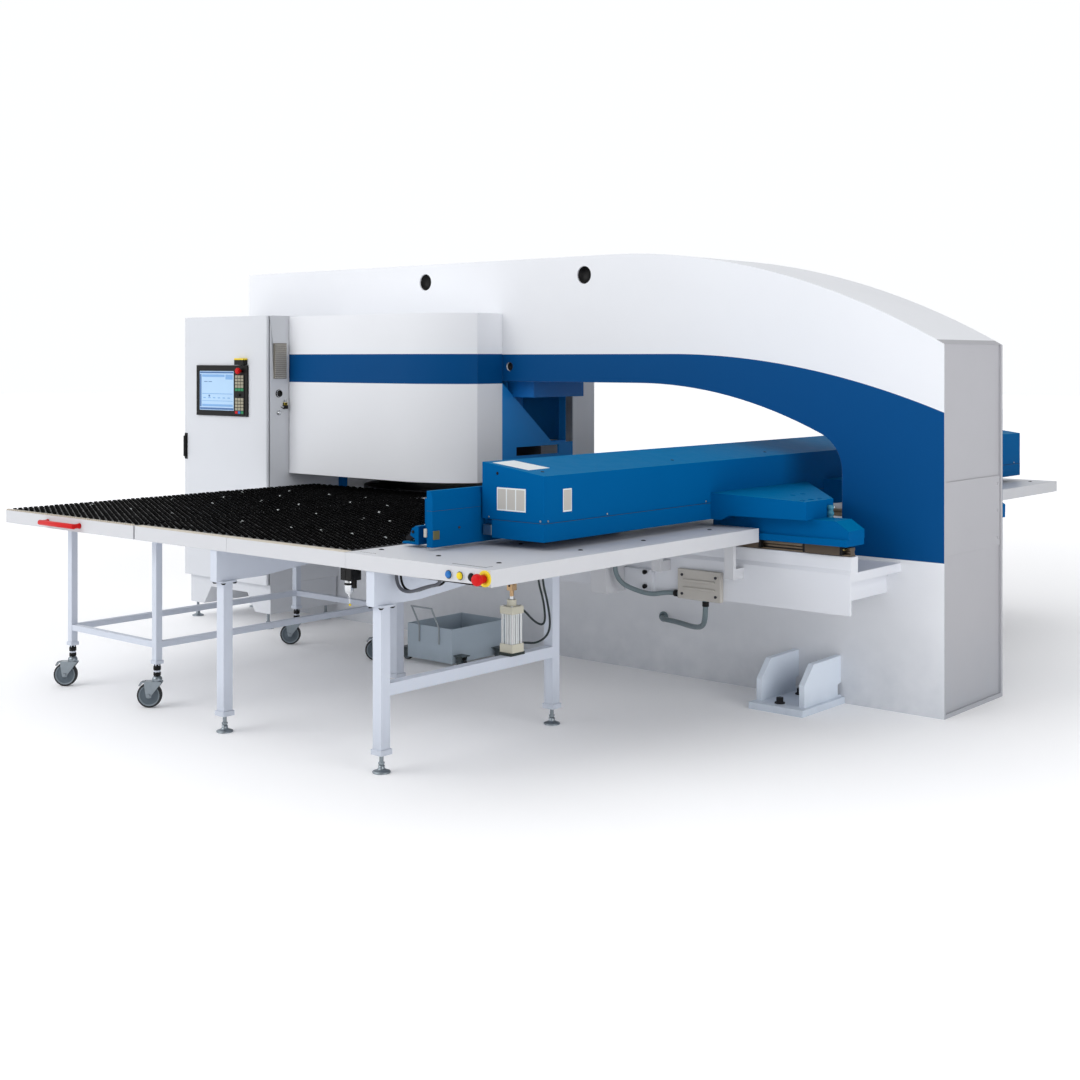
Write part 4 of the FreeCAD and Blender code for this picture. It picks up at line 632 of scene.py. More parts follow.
def tube(name, spots, radius, finish, body):
    """A smooth round tube along a curve near its spots."""
    data = bpy.data.curves.new(name, "CURVE")
    data.dimensions = "3D"
    data.bevel_depth = radius
    data.bevel_resolution = 4
    data.resolution_u = 10
    data.use_fill_caps = True
    spline = data.splines.new("NURBS")
    spline.points.add(len(spots) - 1)
    for point, spot in zip(spline.points, spots):
        point.co = (*spot, 1)
    spline.order_u = 3
    spline.use_endpoint_u = True
    return piece(name, data, finish, body)


def mm(*numbers):
    """A profile's (radius, height) pairs, from millimetres given one after another."""
    return [(radius / 1000, height / 1000) for radius, height in zip(numbers[::2], numbers[1::2])]


CAP_SCREW = mm(0, 2.2, 2.8, 2.2, 3.2, 4.5, 5.8, 5.2, 6.5, 4.5, 6.5, 0)
DOME = mm(0, 4, 6, 3.2, 11, 1.2, 12, 0)


def grow(profile, factor):
    """A profile made larger or smaller as a whole."""
    return [(radius * factor, height * factor) for radius, height in profile]


# ---------------------------------------------------------------- brush tables
ROW_PITCH = 0.0272
TUFT_PITCH = 0.03


def tuft_field(name, x_range, y_range):
    """Rows of flared bristle tufts over a thin dark bed."""
    bm = bmesh.new()
    height = TIPS - TABLE - 0.0002
    x = x_range[0] + 0.012
    row = 0
    while x < x_range[1] - 0.008:
        y = y_range[0] + 0.014 + (0.5 * TUFT_PITCH if row % 2 else 0)
        while y < y_range[1] - 0.01:
            lean_x = random.uniform(-0.003, 0.003)
            lean_y = random.uniform(-0.003, 0.003)
            top = height * random.uniform(0.86, 1.0)
            low = [bm.verts.new((x + sx * 0.004, y + sy * 0.006, TABLE + 0.002))
                   for sx, sy in SQUARE]
            high = [bm.verts.new((x + lean_x + sx * 0.006, y + lean_y + sy * 0.0088,
                                  TABLE + top * random.uniform(0.9, 1.0))) for sx, sy in SQUARE]
            for step in range(4):
                after = (step + 1) % 4
                bm.faces.new((low[step], low[after], high[after], high[step]))
            bm.faces.new(high)
            y += TUFT_PITCH
        x += ROW_PITCH
        row += 1
    tufts = piece(name, bm, "bristle", "base")
    bed = ((x_range[0], y_range[0], TABLE - 0.0005), (x_range[1], y_range[1], TABLE + 0.0024))
    plates(f"{name}_bed", [bed], "black", "base")
    return tufts


# the transfer balls on the near tables: the ones at each y stand at these x
BALL_ROWS = {
    -2.287: (-1.42, -1.06, -0.7, -0.13, 0.234, 0.445, 0.653, 0.868),
    -1.82: (-1.35, -0.99, -0.43, -0.13, 0.225, 0.408, 0.65, 0.86),
    -1.555: (-1.229, -0.893, -0.577, 0.05, 0.52, 0.75),
    -1.296: (-1.4, -1.05, -0.454, -0.167, 0.2, 0.62),
    -1.061: (-1.249, -0.9, -0.588, 0.06, 0.4, 0.78),
}


def make_brushes():
    """The five fields of tufts, the transfer balls and the cart's strip of teeth."""
    fields = {
        "cart_bristles": ((-1.54, -0.401), (-2.69, -0.61)),
        "left_bristles": ((-0.399, 0.303), (-2.672, -0.878)),
        "right_bristles": ((0.306, 1.075), (-2.672, -0.878)),
        "centre_bristles": ((-0.343, 1.074), (-0.662, 0.662)),
        "far_bristles": ((-1.54, 1.075), (0.878, 2.646)),
    }
    for name, (x_range, y_range) in fields.items():
        tufts = tuft_field(name, x_range, y_range)
        if name == "cart_bristles":
            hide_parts("brush_strips")
    ball = mm(0, 4.6, 3.5, 4, 6.5, 2.2, 7.8, 0, 11, -1, 12, -4)
    spots = [(x, y, TIPS - 0.005) for y, row in BALL_ROWS.items() for x in row]
    spots += [(x, -y, z) for x, y, z in spots]
    buttons("transfer_balls", ball, spots, UP, "card", "base", 12)
    strips = [((left, -2.7155, TABLE - 0.0004), (right, -2.673, TABLE + 0.0016))
              for left, right in ((-0.392, 0.3045), (0.3055, 1.0765))]
    plates("edge_strips", strips, "edge", "base")
    teeth = []
    for step in range(60):
        x = -1.546 + 0.019 * step
        wide = 0.0084 * random.uniform(0.8, 1.15)
        teeth.append(((x, -2.7152, TABLE - 0.0006), (x + wide, -2.7, TABLE + 0.0062)))
    plates("cart_edge_teeth", teeth, "edge", "base", 0.0)


# ---------------------------------------------------------------- frame and tables
def make_frame_details():
    """Black cups set just inside the lifting holes, so that the holes look dark inside."""
    dark_cup = mm(0, 0, 47.5, 0, 49.5, 16, 49.5, 18, 44, 18, 44, 4, 0, 4)
    for side in (-1, 1):
        word = "near" if side < 0 else "far"
        spots = [(x, side * 0.298, 2.15) for x in (-0.849, 0.403)]
        buttons(f"hole_dark_cups_{word}", dark_cup, spots, (0, side, 0), "black", "base",
                32)
        buttons(f"small_hole_dark_cup_{word}", grow(dark_cup, 0.515), [(-0.156, side * 0.303, 1.636)],
                (0, side, 0), "black", "base", 24)


def make_table_fittings():
    """Screws, scribed lines and corbel bolts of the tables, and the two knobs by the cables."""
    spots = [(1.134, -2.559), (1.453, -2.547), (1.778, -2.544), (1.447, -2.041), (1.771, -2.036),
             (1.772, -1.604), (1.756, -1.072)]
    spots = [(x, y * side, TABLE - 0.0002) for x, y in spots for side in (1, -1)]
    buttons("table_screws", DOME, spots, UP, "black", "base")
    lines = [((1.6497, -2.6725, TABLE - 0.001), (1.8264, -2.668, TABLE + 0.0005)),
             ((1.8225, -2.672, TABLE - 0.001), (1.8264, -2.631, TABLE + 0.0005))]
    for step in range(8):
        x = 1.12 + 0.012 * step
        lines.append(((x, -2.665, TABLE - 0.001), (x + 0.006, -2.661, TABLE + 0.0004)))
    plates("scribed_lines", lines, "groove", "base", 0.0)
    bm = bmesh.new()
    hexagon = mm(0, -6.5, 7.5, -6.5, 8.5, -4.5, 8.5, 0)
    washer = mm(0, -1.2, 11.5, -1.2, 11.5, 0)
    for x in (1.225, 0.2):
        for y in (-2.645, 2.645):
            for across, along in SQUARE:
                seat = aimed((x + 0.0315 * across, y + 0.0315 * along, 0.675), UP)
                add_turned(bm, hexagon, seat, 6)
                add_turned(bm, washer, seat, 14)
    piece("corbel_bolts", bm, "black", "base")
    knob = mm(0, 12, 8, 11.8, 11.5, 9, 12, 3, 9.5, 0, 9.5, -10)
    buttons("cable_knobs", knob, [(1.213, -0.8425, z) for z in (0.549, 0.62)], NEAR, "black",
            "base", 10)


def make_cart_handle():
    """The red pull handle: a round grip that bends back to its two feet."""
    left, right = -1.1575, -0.8455
    wide = right - left
    bm = bmesh.new()
    grip = [(0.0, 0.0), (0.0115, 0.0), (0.0128, 0.002), (0.0128, wide - 0.002), (0.0115, wide),
            (0.0, wide)]
    add_turned(bm, grip, aimed((left, -2.756, 0.857), RIGHT), 24)
    foot = mm(0, 0, 11.5, 0, 11.5, 28, 15, 38.5, 0, 38.5)
    for x in (left + 0.0125, right - 0.0125):
        add_turned(bm, foot, aimed((x, -2.756, 0.857), FAR), 20)
    piece("pull_handle", bm, "red", "base")


def make_feet():
    """The swivel feet under the tables' legs and under the control cabinet."""
    bm = bmesh.new()
    for y in (-2.645, -1.574, 1.574, 2.645):
        for x in (1.225, 0.2) if y < 0 else (1.225, 0.2, -1.165):
            add_foot(bm, x, y, 0.075)
    for x in (-2.421, -1.702):
        for y in (-0.854, -0.385):
            add_foot(bm, x, y, 0.095)
    feet = piece("swivel_feet", bm, "zinc", "base")
    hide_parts("levelling_feet")


def add_foot(bm, x, y, height):
    """A flared pad, a nut and a threaded stem up to a height."""
    floor = aimed((x, y, 0), UP)
    pad = mm(0, 0, 36, 0, 38, 3, 37, 7, 26, 11, 16, 16, 13.5, 22, 13.5, 30, 8, 32)
    add_turned(bm, pad, floor, 32)
    nut = mm(0, 34, 12.5, 34, 13.5, 35.5, 13.5, 42.5, 12.5, 44, 0, 44)
    add_turned(bm, nut, floor, 6)
    pitch, z = 0.0024, 0.031
    thread = [(0.008, z)]
    while z < height - 0.003:
        thread += [(0.0092, z + pitch / 2), (0.008, z + pitch)]
        z += pitch
    thread += [(0.008, height)]
    add_turned(bm, thread, floor, 16)


# ---------------------------------------------------------------- buttons on the skirt
def make_skirt_controls():
    """The three push buttons and the mushroom stop on the plain table's skirt."""
    face, height, stop_x = -2.716, 0.856, 1.864
    out = NEAR
    cap = mm(0, -2, 14, -2, 14, 9.2, 13.2, 10.8, 11.2, 11.2, 10.8, 13.4, 9.2, 14, 0, 14.2)
    rows = (("button_blue", "push_blue", 0.186, "dot_blue", "blue_plastic"),
            ("button_yellow", "push_yellow", 0.126, "yellow", "yellow_plastic"),
            ("button_black", "push_black", 0.066, "black", "black_plastic"))
    for name, body, offset, finish, slot in rows:
        made = buttons(f"{name}_cap", cap, [(stop_x - offset, face, height)], out, finish, body,
                       28)
        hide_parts(name)
    ring = mm(14.6, 4, 14.6, 6.8, 16.3, 6.6, 16.8, 5.5)
    spots = [(stop_x - offset, face, height) for _, _, offset, _, _ in rows]
    buttons("button_rings", ring, spots, out, "black", "base", 28)
    collar = mm(14.5, 0, 14.5, 5.6, 29, 5.6, 31.2, 4.2, 31.2, 0)
    buttons("stop_collar", collar, [(stop_x, face, height)], out, "yellow", "base",
            36)
    stop = mm(0, 0, 13, 0, 13, 11, 16.5, 12, 17, 30, 19.5, 34.5, 22.6, 37.5, 23.5, 43, 22.8, 50,
              19, 56.2, 11, 58.6, 0, 59)
    made = buttons("skirt_stop_button", stop, [(stop_x, face, height)], out, "red", "skirt_stop",
                   36)
    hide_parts("skirt_estop")


# ---------------------------------------------------------------- casters
LEGS = [(x, -y) for x in (-1.165, -0.432) for y in (2.563, 1.078)]
SWIVEL = math.radians(40.7)
AXLE, TRAIL, HALF_TREAD = 0.06, -0.036, 0.016


def add_wheel(bm, matrix, radius, half, bore):
    """A tyre with rounded shoulders round a dished hub, open at its bore; matrix Z is its axle."""
    rim, hub = radius * 0.8, radius * 0.25
    profile = [
        (bore, -half), (hub, -half), (hub * 1.15, -half * 0.72), (rim * 0.93, -half * 0.66),
        (rim, -half * 0.86), (rim * 1.06, -half * 0.92), (radius * 0.95, -half),
        (radius * 0.99, -half * 0.7), (radius, -half * 0.2), (radius, half * 0.2),
        (radius * 0.99, half * 0.7), (radius * 0.95, half), (rim * 1.06, half * 0.92),
        (rim, half * 0.86), (rim * 0.93, half * 0.66), (hub * 1.15, half * 0.72), (hub, half),
        (bore, half), (bore, -half),
    ]
    slots = [1, 1, 1, 2, 2, 0, 0, 0, 0, 0, 0, 0, 2, 2, 1, 1, 1, 1]
    add_turned(bm, profile, matrix, 40, slots)


def make_fork(index, place, seat):
    """A swivel head, a fork of two cheeks, the axle pin with its nuts, and a brake pedal."""
    top, axle, out, half = 0.152, AXLE, TRAIL, HALF_TREAD
    bm = bmesh.new()
    head = mm(8.5, 127.2, 22.5, 127.2, 24, 131, 24, 141, 20.5, 147.5, 15, 152, 8.5, 152,
              8.5, 127.2)
    add_turned(bm, head, place, 28)
    crown = [(out - 0.02, top - 0.03), (out - 0.022, top - 0.024), (0.021, top - 0.024),
             (0.024, top - 0.0275), (0.021, top - 0.03)]
    add_slab(bm, crown, -half - 0.0072, half + 0.0072, place, 0.0012)
    cheek = [(0.023, top - 0.0245), (0.024, top - 0.033), (out + 0.015, axle + 0.004),
             (out + 0.011, axle - 0.01), (out, axle - 0.0128), (out - 0.011, axle - 0.01),
             (out - 0.014, axle + 0.002), (out - 0.022, top - 0.04), (out - 0.022, top - 0.0245)]
    for low in (-half - 0.007, half + 0.003):
        add_slab(bm, cheek, low, low + 0.004, place, 0.0008)
    pin = mm(0, -21, 6, -21, 6, 21, 0, 21)
    add_turned(bm, pin, seat, 16)
    for side in (-1, 1):
        nut = [(0.0105, side * (half + 0.0068)), (0.0105, side * (half + 0.01)),
               (0.0088, side * (half + 0.0125)), (0.0, side * (half + 0.0128))]
        add_turned(bm, nut, seat, 6)
    pedal = [(out - 0.02, top - 0.03), (out - 0.02, top - 0.0225), (out - 0.04, top - 0.026),
             (out - 0.0515, top - 0.0455), (out - 0.044, top - 0.0478),
             (out - 0.0375, top - 0.0335)]
    add_slab(bm, pedal, -0.0148, 0.0148, place, 0.0014, 1)
    bmesh.ops.recalc_face_normals(bm, faces=bm.faces)
    fork = piece(f"fork_{index}_shell", bm, ["zinc", "tyre"], f"fork_{index}")
    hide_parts(f"caster_fork_{index}")


def make_casters():
    """The cart's four casters, the nuts on their stems, and the bin's four wheels."""
    along = Matrix.Rotation(math.radians(-90), 4, "X")
    wheel_looks = ["tyre", "hub", "rim"]
    for index, (x, y) in enumerate(LEGS, start=1):
        place = Matrix.Translation((x, y, 0)) @ Matrix.Rotation(SWIVEL, 4, "Z")
        seat = place @ Matrix.Translation((TRAIL, 0, AXLE)) @ along
        make_fork(index, place, seat)
        bm = bmesh.new()
        add_wheel(bm, seat, AXLE, HALF_TREAD, 0.0062)
        wheel = piece(f"wheel_{index}_tyre", bm, wheel_looks, f"wheel_{index}")
        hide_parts(f"caster_wheel_{index}")
    nuts = mm(8.2, 152.6, 15, 152.6, 17.8, 156, 17.8, 169, 12.8, 173, 12.8, 178, 18.2, 182, 18.2,
              198, 15, 203, 15, 211.2, 8.2, 211.2)
    buttons("caster_nuts", nuts, [(x, y, 0) for x, y in LEGS], UP, "black", "base",
            14)
    centres = [(x, y) for x in (0.062, -0.352) for y in (-0.955, -0.65)]
    for index, (x, y) in enumerate(centres, start=1):
        bm = bmesh.new()
        add_wheel(bm, Matrix.Translation((x, y, 0.03)) @ along, 0.03, 0.012, 0.0052)
        wheel = piece(f"bin_tyre_{index}", bm, wheel_looks, f"bin_roller_{index}")
        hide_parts(f"bin_wheel_{index}")


# ---------------------------------------------------------------- control cabinet
def make_screen():
    """The lit screen with plain bars and fields, in the panel's recess."""
    left, right = -2.311, -1.956
    low, high = 1.351, 1.605
    front = -0.9235
    plates("panel_screen", [((left + 0.0015, front, low + 0.0015),
                             (right - 0.0015, front + 0.0035, high - 0.0015))], "screen", "door")
    dark = [((left + 0.006, high - 0.016), (right - 0.006, high - 0.006)),
            ((left + 0.006, low + 0.006), (right - 0.006, low + 0.018)),
            ((left + 0.006, low + 0.024), (left + 0.02, high - 0.022)),
            ((left + 0.095, low + 0.088), (left + 0.11, low + 0.1))]
    dark += [((left + 0.05 + 0.045 * step, high - 0.072),
              (left + 0.085 + 0.045 * step, high - 0.068)) for step in range(2)]
    mid = [((left + 0.028, high - 0.04), (right - 0.095, high - 0.024)),
           ((right - 0.085, high - 0.055), (right - 0.012, high - 0.024)),
           ((left + 0.028, low + 0.105), (right - 0.012, low + 0.109)),
           ((left + 0.028, low + 0.06), (right - 0.012, low + 0.063)),
           ((left + 0.028, low + 0.026), (right - 0.012, low + 0.04))]
    mid += [((left + 0.04 + 0.05 * step, low + 0.078), (left + 0.066 + 0.05 * step, low + 0.084))
            for step in range(6)]
    for name, boxes, finish, depth in (("screen_bars", dark, "screen_dark", 0.0009),
                                       ("screen_fields", mid, "screen_mid", 0.0006)):
        plates(name, [((a[0], front - depth, a[1]), (b[0], front + 0.0005, b[1]))
                      for a, b in boxes], finish, "door", 0.0002)


def make_keypad():
    """A raised keypad of two blocks of keys, a knob between them, and the switch box's cap."""
    pad = -0.9296
    plates("key_pad", [((-1.94, pad, 1.326), (-1.848, pad + 0.0046, 1.582))], "bezel", "door",
           0.0015)
    colours = {"keys": [], "green": [], "dot_blue": [], "red": []}
    for block_top, last_row in ((1.577, ("green",) * 3), (1.434, ("red", "dot_blue", "green"))):
        for row in range(5):
            for column in range(3):
                x = -1.935 + 0.0285 * column
                z = block_top - 0.0205 * row
                box = ((x, pad - 0.0016, z - 0.0165), (x + 0.0245, pad + 0.0004, z))
                colours[last_row[column] if row == 4 else "keys"].append(box)
    for finish, boxes in colours.items():
        plates(f"keys_{finish}", boxes, finish, "door", 0.0006)
    knob = mm(0, 9, 7, 8.5, 9.5, 6.5, 10, 0, 10, -1)
    buttons("panel_knob", knob, [(-1.894, pad, 1.4535)], NEAR, "black", "door",
            20)
    plates("switch_cap", [((-1.9232, -0.9484, 1.6735), (-1.8328, -0.9136, 1.6848))], "yellow",
           "door", 0.0015)


def make_cabinet_side():
    """The vent grille, the blanking cap, the cam lock and a small regulator on the side wall."""
    side = -1.6428
    boxes = [((side - 0.002, -0.8625, 1.558), (side + 0.0138, -0.7675, 1.778))]
    plates("grille_back", boxes, "grille", "base", 0.001)
    slats = [((side + 0.01, -0.86, 1.5635 + 0.0125 * step),
              (side + 0.0185, -0.77, 1.57 + 0.0125 * step)) for step in range(17)]
    plates("grille_slats", slats, "beige", "base", 0.0012)
    cap = mm(0, 12.5, 19, 12, 23.5, 9.5, 25.2, 5, 25.2, 0)
    buttons("side_blank", cap, [(side, -0.82, 1.465)], RIGHT, "black", "base", 28)
    lock = mm(0, 12.5, 4.5, 12.5, 5, 17, 9.2, 17.8, 10, 16.5, 10, 9, 15.2, 8.2, 16.5, 5.5, 16.5, 0)
    buttons("side_cam_lock", lock, [(side, -0.822, 1.345)], RIGHT, "chrome", "base", 24)
    bm = bmesh.new()
    add_block(bm, (side - 0.001, -0.79, 1.368), (side + 0.02, -0.76, 1.392), 0.002, 0)
    add_block(bm, (side - 0.001, -0.787, 1.392), (side + 0.016, -0.763, 1.408), 0.002, 1)
    add_turned(bm, mm(0, 0, 7, 0, 7.5, 18, 0, 18.5),
               aimed((side + 0.008, -0.775, 1.4075), UP), 16, 2)
    add_turned(bm, mm(0, 0, 5.5, 0, 5.5, 22, 0, 23),
               aimed((side + 0.009, -0.79, 1.38), NEAR), 16, 2)
    piece("side_regulator", bm, ["black", "yellow", "chrome"], "base")


# ---------------------------------------------------------------- beam and carriage
def beam_top_height(x):
    """The height of the beam cover's sloping top."""
    back, height, run, fall = 1.339, 1.244, 0.347, 0.046
    return height - fall * (x - back) / run


def make_beam_fittings():
    """The beam's screws and seam, and its pale plates without marks."""
    slope = (0.132, 0, 0.991)
    top = [(x, y, beam_top_height(x) - 0.0004)
           for x, y in ((1.607, -2.086), (1.6, -1.15), (1.6, -0.35), (1.6, 0.5), (1.6, 1.3),
                        (1.6, 2.2))]
    buttons("beam_top_screws", grow(DOME, 0.8), top, slope, "black", "beam_unit")
    buttons("beam_end_button", grow(DOME, 0.6), [(1.427, -2.1678, 1.198)], NEAR, "black",
            "beam_unit")
    side = [(1.6857, y, 1.012) for y in (-2.144, -1.75, -1.0, -0.3, 0.5, 1.3, 2.1, 2.5)]
    buttons("beam_side_screws", grow(CAP_SCREW, 0.65), side, RIGHT, "steel", "beam_unit")
    end = [(x, -2.1677, 1.012) for x in (1.379, 1.667)]
    buttons("beam_end_screws", grow(CAP_SCREW, 0.65), end, NEAR, "steel", "beam_unit")
    seam = [((1.6848, -2.1684, 1.0012), (1.6864, 2.6004, 1.0026)),
            ((1.395, -2.1684, 1.0012), (1.6864, -2.1666, 1.0026))]
    plates("beam_seam", seam, "groove", "beam_unit", 0.0)
    cards = [((1.425, -2.169, 1.043), (1.586, -2.1675, 1.14)),
             ((1.6855, -2.0466, 1.043), (1.687, -1.99, 1.139))]
    plates("beam_cards", cards, "card", "beam_unit", 0.0005)
    fields = [((1.43 + 0.052 * step, -2.1693, 1.049), (1.476 + 0.052 * step, -2.1685, 1.134))
              for step in range(3)]
    fields.append(((1.686, -2.0425, 1.049), (1.6873, -1.994, 1.134)))
    plates("beam_card_fields", fields, "beige", "beam_unit", 0.0003)
    bm = bmesh.new()
    corners = [(1.375, -2.14), (1.56, -2.12), (1.552, -1.975), (1.367, -1.995)]
    low = [bm.verts.new((x, y, beam_top_height(x) - 0.0005)) for x, y in corners]
    high = [bm.verts.new((x, y, beam_top_height(x) + 0.0008)) for x, y in corners]
    bm.faces.new(high)
    for step in range(4):
        after = (step + 1) % 4
        bm.faces.new((low[step], low[after], high[after], high[step]))
    piece("beam_top_card", bm, "card", "beam_unit")


def make_arm_bolts():
    """Dark socket screws in the counterbores of the saddles' arms."""
    spots = [(2.12, 0.855), (2.12, 0.78), (2.12, 0.705), (1.975, 0.7), (1.975, 0.61)]
    screw = mm(0, 4, 4.5, 4, 5.2, 10, 10.5, 10.5, 11.2, 9.5, 11.2, 0, 0, 0)
    both = [(x, y * side, 1.0185) for x, y in spots for side in (-1, 1)]
    buttons("arm_bolts", screw, both, UP, "groove", "beam_unit", 16)


def make_saddle_fittings():
    """Wipers at the guide shoes' ends, and each saddle's grease nipple and cable glands."""
    for side in (-1, 1):
        word = "near" if side < 0 else "far"
        wipers = []
        for end, step in ((2.2902, 0.012), (2.1098, -0.012), (1.8602, 0.012), (1.6798, -0.012)):
            x_low, x_high = sorted((end, end + step))
            for low, high in ((0.7935, 0.819), (0.721, 0.7465)):
                y_low, y_high = sorted((low * side, high * side))
                wipers.append(((x_low, y_low, 0.7915), (x_high, y_high, SHOE_TOP)))
        plates(f"shoe_wipers_{word}", wipers, "black", "beam_unit", 0.0015)
    nipple = mm(0, 16, 3, 15.5, 3.8, 11, 2.5, 9, 6, 6, 6, 0)
    buttons("grease_nipples", nipple, [(2.3018, -0.806, 0.818), (2.3018, 0.806, 0.818)], RIGHT,
            "brass", "beam_unit", 10)
    gland = mm(0, 0, 13, 0, 13, 10, 16, 12, 16, 24, 13, 29, 0, 31)
    spots = [(2.176, 0.7 * side, z) for side in (-1, 1) for z in (0.9465, 0.974)]
    buttons("cable_glands", gland, spots, UP, "cyan", "beam_unit", 24)


def make_carriage_fittings():
    """The cover's seam, its screws, and the small blocks at its end by the operator."""
    near, back = -2.457, -1.207
    plates("carriage_seam", [((1.329, near - 0.0004, 1.0525), (1.3304, back + 0.0004, 1.0537)),
                             ((1.2964, near - 0.0004, 1.0525), (1.3304, near + 0.001, 1.0537))],
           "groove", "carriage_unit", 0.0)
    plates("carriage_stop", [((1.3295, -2.4548, 0.936), (1.3365, -2.4215, 0.972))], "olive",
           "carriage_unit", 0.0012)
    plates("carriage_edge_block", [((1.2835, near - 0.006, 0.944), (1.2985, near + 0.03, 0.979))],
           "beige", "carriage_unit", 0.0015)
    screw = grow(CAP_SCREW, 0.8)
    buttons("carriage_screws", screw, [(1.3298, y, 0.975) for y in (-2.3, -1.95, -1.6, -1.3)],
            RIGHT, "groove", "carriage_unit", 12)
    plates("guide_block", [((1.342, -2.1665, 0.934), (1.392, -2.135, 0.978))], "steel",
           "carriage_unit", 0.002)


# ---------------------------------------------------------------- pneumatics and wiring
def make_cylinder_fittings():
    """Cap screws, hose ports and the barrel's long ribs, all outside the bore."""
    x, y = 1.225, -1.851
    spots = [(x + across * 0.029, y + along * 0.029, 0.5788) for across, along in SQUARE]
    buttons("cylinder_screws", grow(CAP_SCREW, 0.95), spots, UP, "steel", "base", 6)
    ribs = []
    for across in (-0.0215, -0.0075, 0.0075, 0.0215):
        for side in (-1, 1):
            a, b = sorted((side * 0.031, side * 0.0345))
            ribs.append(((x + across - 0.0022, y + a, 0.4128),
                         (x + across + 0.0022, y + b, 0.5462)))
            ribs.append(((x + a, y + across - 0.0022, 0.4128),
                         (x + b, y + across + 0.0022, 0.5462)))
    plates("cylinder_ribs", ribs, "card", "base", 0.0008)
    port = mm(0, 16, 6.5, 16, 6.5, 7, 8.5, 6, 8.5, 0)
    spots = [(x, y + 0.0378, 0.565), (x, y + 0.0378, 0.406)]
    buttons("hose_ports", port, spots, FAR, "brass", "base", 6)


def make_hoses():
    """The two air hoses, from the cylinder's ports up to the table."""
    x, y = 1.225, -1.813
    high, low, side, top = 0.565, 0.406, 1.265, UNDER_TABLE
    upper = [(x, y, high), (x, y + 0.026, high), (x + 0.022, y + 0.096, high - 0.078),
             (side - 0.004, y + 0.152, high - 0.096), (side, y + 0.138, high + 0.01),
             (side, y + 0.088, high + 0.13), (side, y + 0.088, top)]
    lower = [(x, y, low), (x, y + 0.03, low), (x + 0.02, y + 0.12, low - 0.016),
             (side, y + 0.184, low + 0.03), (side + 0.012, y + 0.156, low + 0.15),
             (side + 0.012, y + 0.104, low + 0.29), (side + 0.012, y + 0.104, top)]
    made = tube("upper_air_hose", upper, 0.005, "hose", "base")
    tube("lower_air_hose", lower, 0.005, "hose", "base")
    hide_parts("air_hoses")
    plates("hose_tie", [((side - 0.009, -1.732, 0.742), (side + 0.021, -1.706, 0.749))], "black",
           "base", 0.001)


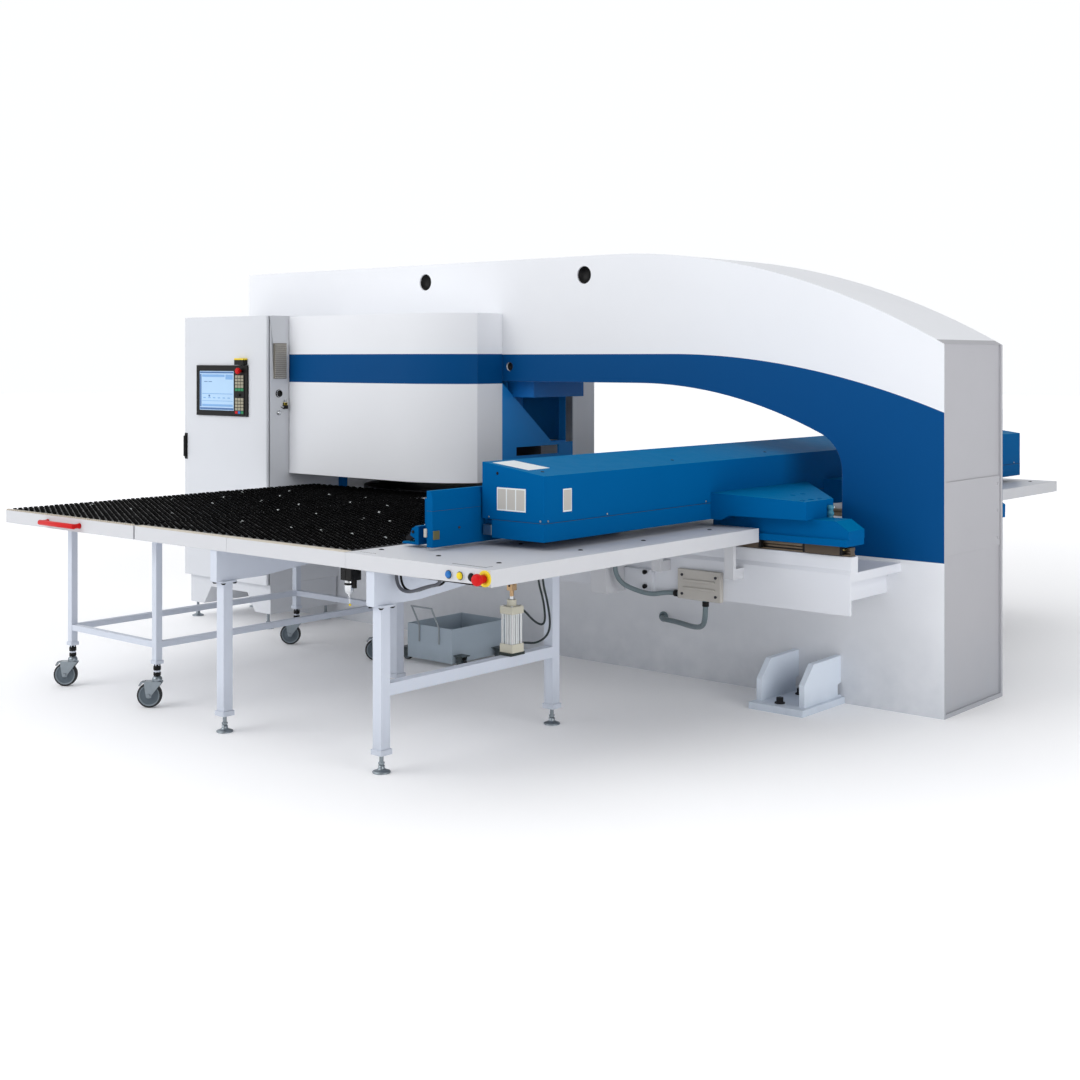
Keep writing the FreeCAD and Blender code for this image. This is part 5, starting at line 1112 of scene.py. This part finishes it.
def make_wiring():
    """The junction cover, its conduits with their end fittings, and the cables under a table."""
    face, wall, top = -0.813, -0.325, UNDER_TABLE
    bm = bmesh.new()
    add_block(bm, (1.408, face - 0.026, 0.51), (1.66, face, 0.656), 0.004)
    for z in (0.56, 0.598):
        add_block(bm, (1.44, face - 0.034, z), (1.628, face - 0.024, z + 0.012), 0.004)
    box = piece("junction_box", bm, "beige", "base")
    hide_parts("wiring")
    spots = [(x, face - 0.0258, z) for x in (1.436, 1.632) for z in (0.536, 0.628)]
    buttons("junction_screws", grow(CAP_SCREW, 1.05), spots, NEAR, "groove", "base",
            16)
    drain = [(1.566, face - 0.014, 0.512), (1.566, face - 0.014, 0.44), (1.5, face + 0.06, 0.366),
             (1.34, face + 0.2, 0.33), (1.15, face + 0.33, 0.318), (0.98, wall - 0.07, 0.303),
             (0.957, wall - 0.012, 0.302)]
    tube("drain_conduit", drain, 0.013, "conduit", "base")
    feed = [(1.108, face - 0.148, top), (1.108, face - 0.148, 0.65), (1.126, face - 0.126, 0.575),
            (1.18, face - 0.092, 0.54), (1.265, face - 0.048, 0.514), (1.34, face - 0.014, 0.532),
            (1.409, face - 0.014, 0.532)]
    tube("feed_conduit", feed, 0.012, "conduit", "base")
    cable = [(1.264, -2.6, top), (1.264, -2.6, 0.782), (1.288, -2.6, 0.744), (1.345, -2.6, 0.738),
             (1.44, -2.6, 0.772), (1.52, -2.6, 0.788), (1.52, -2.6, top)]
    tube("table_cable", cable, 0.007, "cable", "base")
    second = [(x + 0.006, y + 0.019, z) for x, y, z in cable]
    tube("table_cable_second", second, 0.005, "black", "base")
    flange = mm(0, 13, 15, 13, 17.5, 12.5, 19, 10, 25.8, 8.5, 27.5, 6, 27.5, 0)
    buttons("conduit_flange", flange, [(0.954, wall - 0.0002, 0.302)], NEAR, "conduit", "base",
            28)
    sleeve = mm(15, 0, 16.5, 2, 16.5, 22, 15, 24)
    buttons("conduit_sleeve", sleeve, [(1.566, face - 0.014, 0.484)], UP, "black", "base",
            20)
    buttons("feed_sleeve", sleeve, [(1.383, face - 0.014, 0.5315)], RIGHT, "black", "base",
            20)


def make_valve():
    """The air valve: a dark block with its coil, a steel bowl, and a lever with a knob below."""
    top, x, y = UNDER_TABLE, 1.083, -2.686
    middle = aimed((x - 0.006, y, top), UP)
    bm = bmesh.new()
    add_block(bm, (x - 0.034, y - 0.024, top - 0.052), (x + 0.03, y + 0.034, top), 0.002, 0)
    add_block(bm, (x - 0.03, y - 0.0255, top - 0.046), (x - 0.002, y - 0.022, top - 0.01), 0.001,
              0)
    bowl = mm(0, -108, 10, -108, 16.5, -103, 19, -94, 19.5, -60, 17.5, -52)
    add_turned(bm, bowl, middle, 28, 1)
    band = mm(19.7, -72, 20.3, -71, 20.3, -63, 19.7, -62)
    add_turned(bm, band, middle, 28, 0)
    drain = mm(0, -118, 4, -118, 5.5, -114, 5.5, -107)
    add_turned(bm, drain, middle, 12, 1)
    coil = mm(0, -84, 8.5, -84, 9, -81, 9, -51)
    add_turned(bm, coil, aimed((x + 0.02, y + 0.006, top), UP), 20, 0)
    add_turned(bm, mm(0, 0, 1.8, 0, 1.8, 30, 0, 30), aimed((x - 0.006, y, top - 0.146), UP), 8, 1)
    add_turned(bm, mm(0, 0, 4.5, 1, 5, 8, 0, 10),
               aimed((x - 0.005, y, top - 0.15), (0.5, 0, -0.6)), 12, 2)
    valve = piece("valve_block", bm, ["black", "chrome", "yellow"], "base")
    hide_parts("air_valve")


add_camera()
add_studio()
dress_nodes()
make_brushes()
make_frame_details()
make_table_fittings()
make_cart_handle()
make_feet()
make_skirt_controls()
make_casters()
make_screen()
make_keypad()
make_cabinet_side()
make_beam_fittings()
make_arm_bolts()
make_saddle_fittings()
make_carriage_fittings()
make_cylinder_fittings()
make_hoses()
make_wiring()
make_valve()
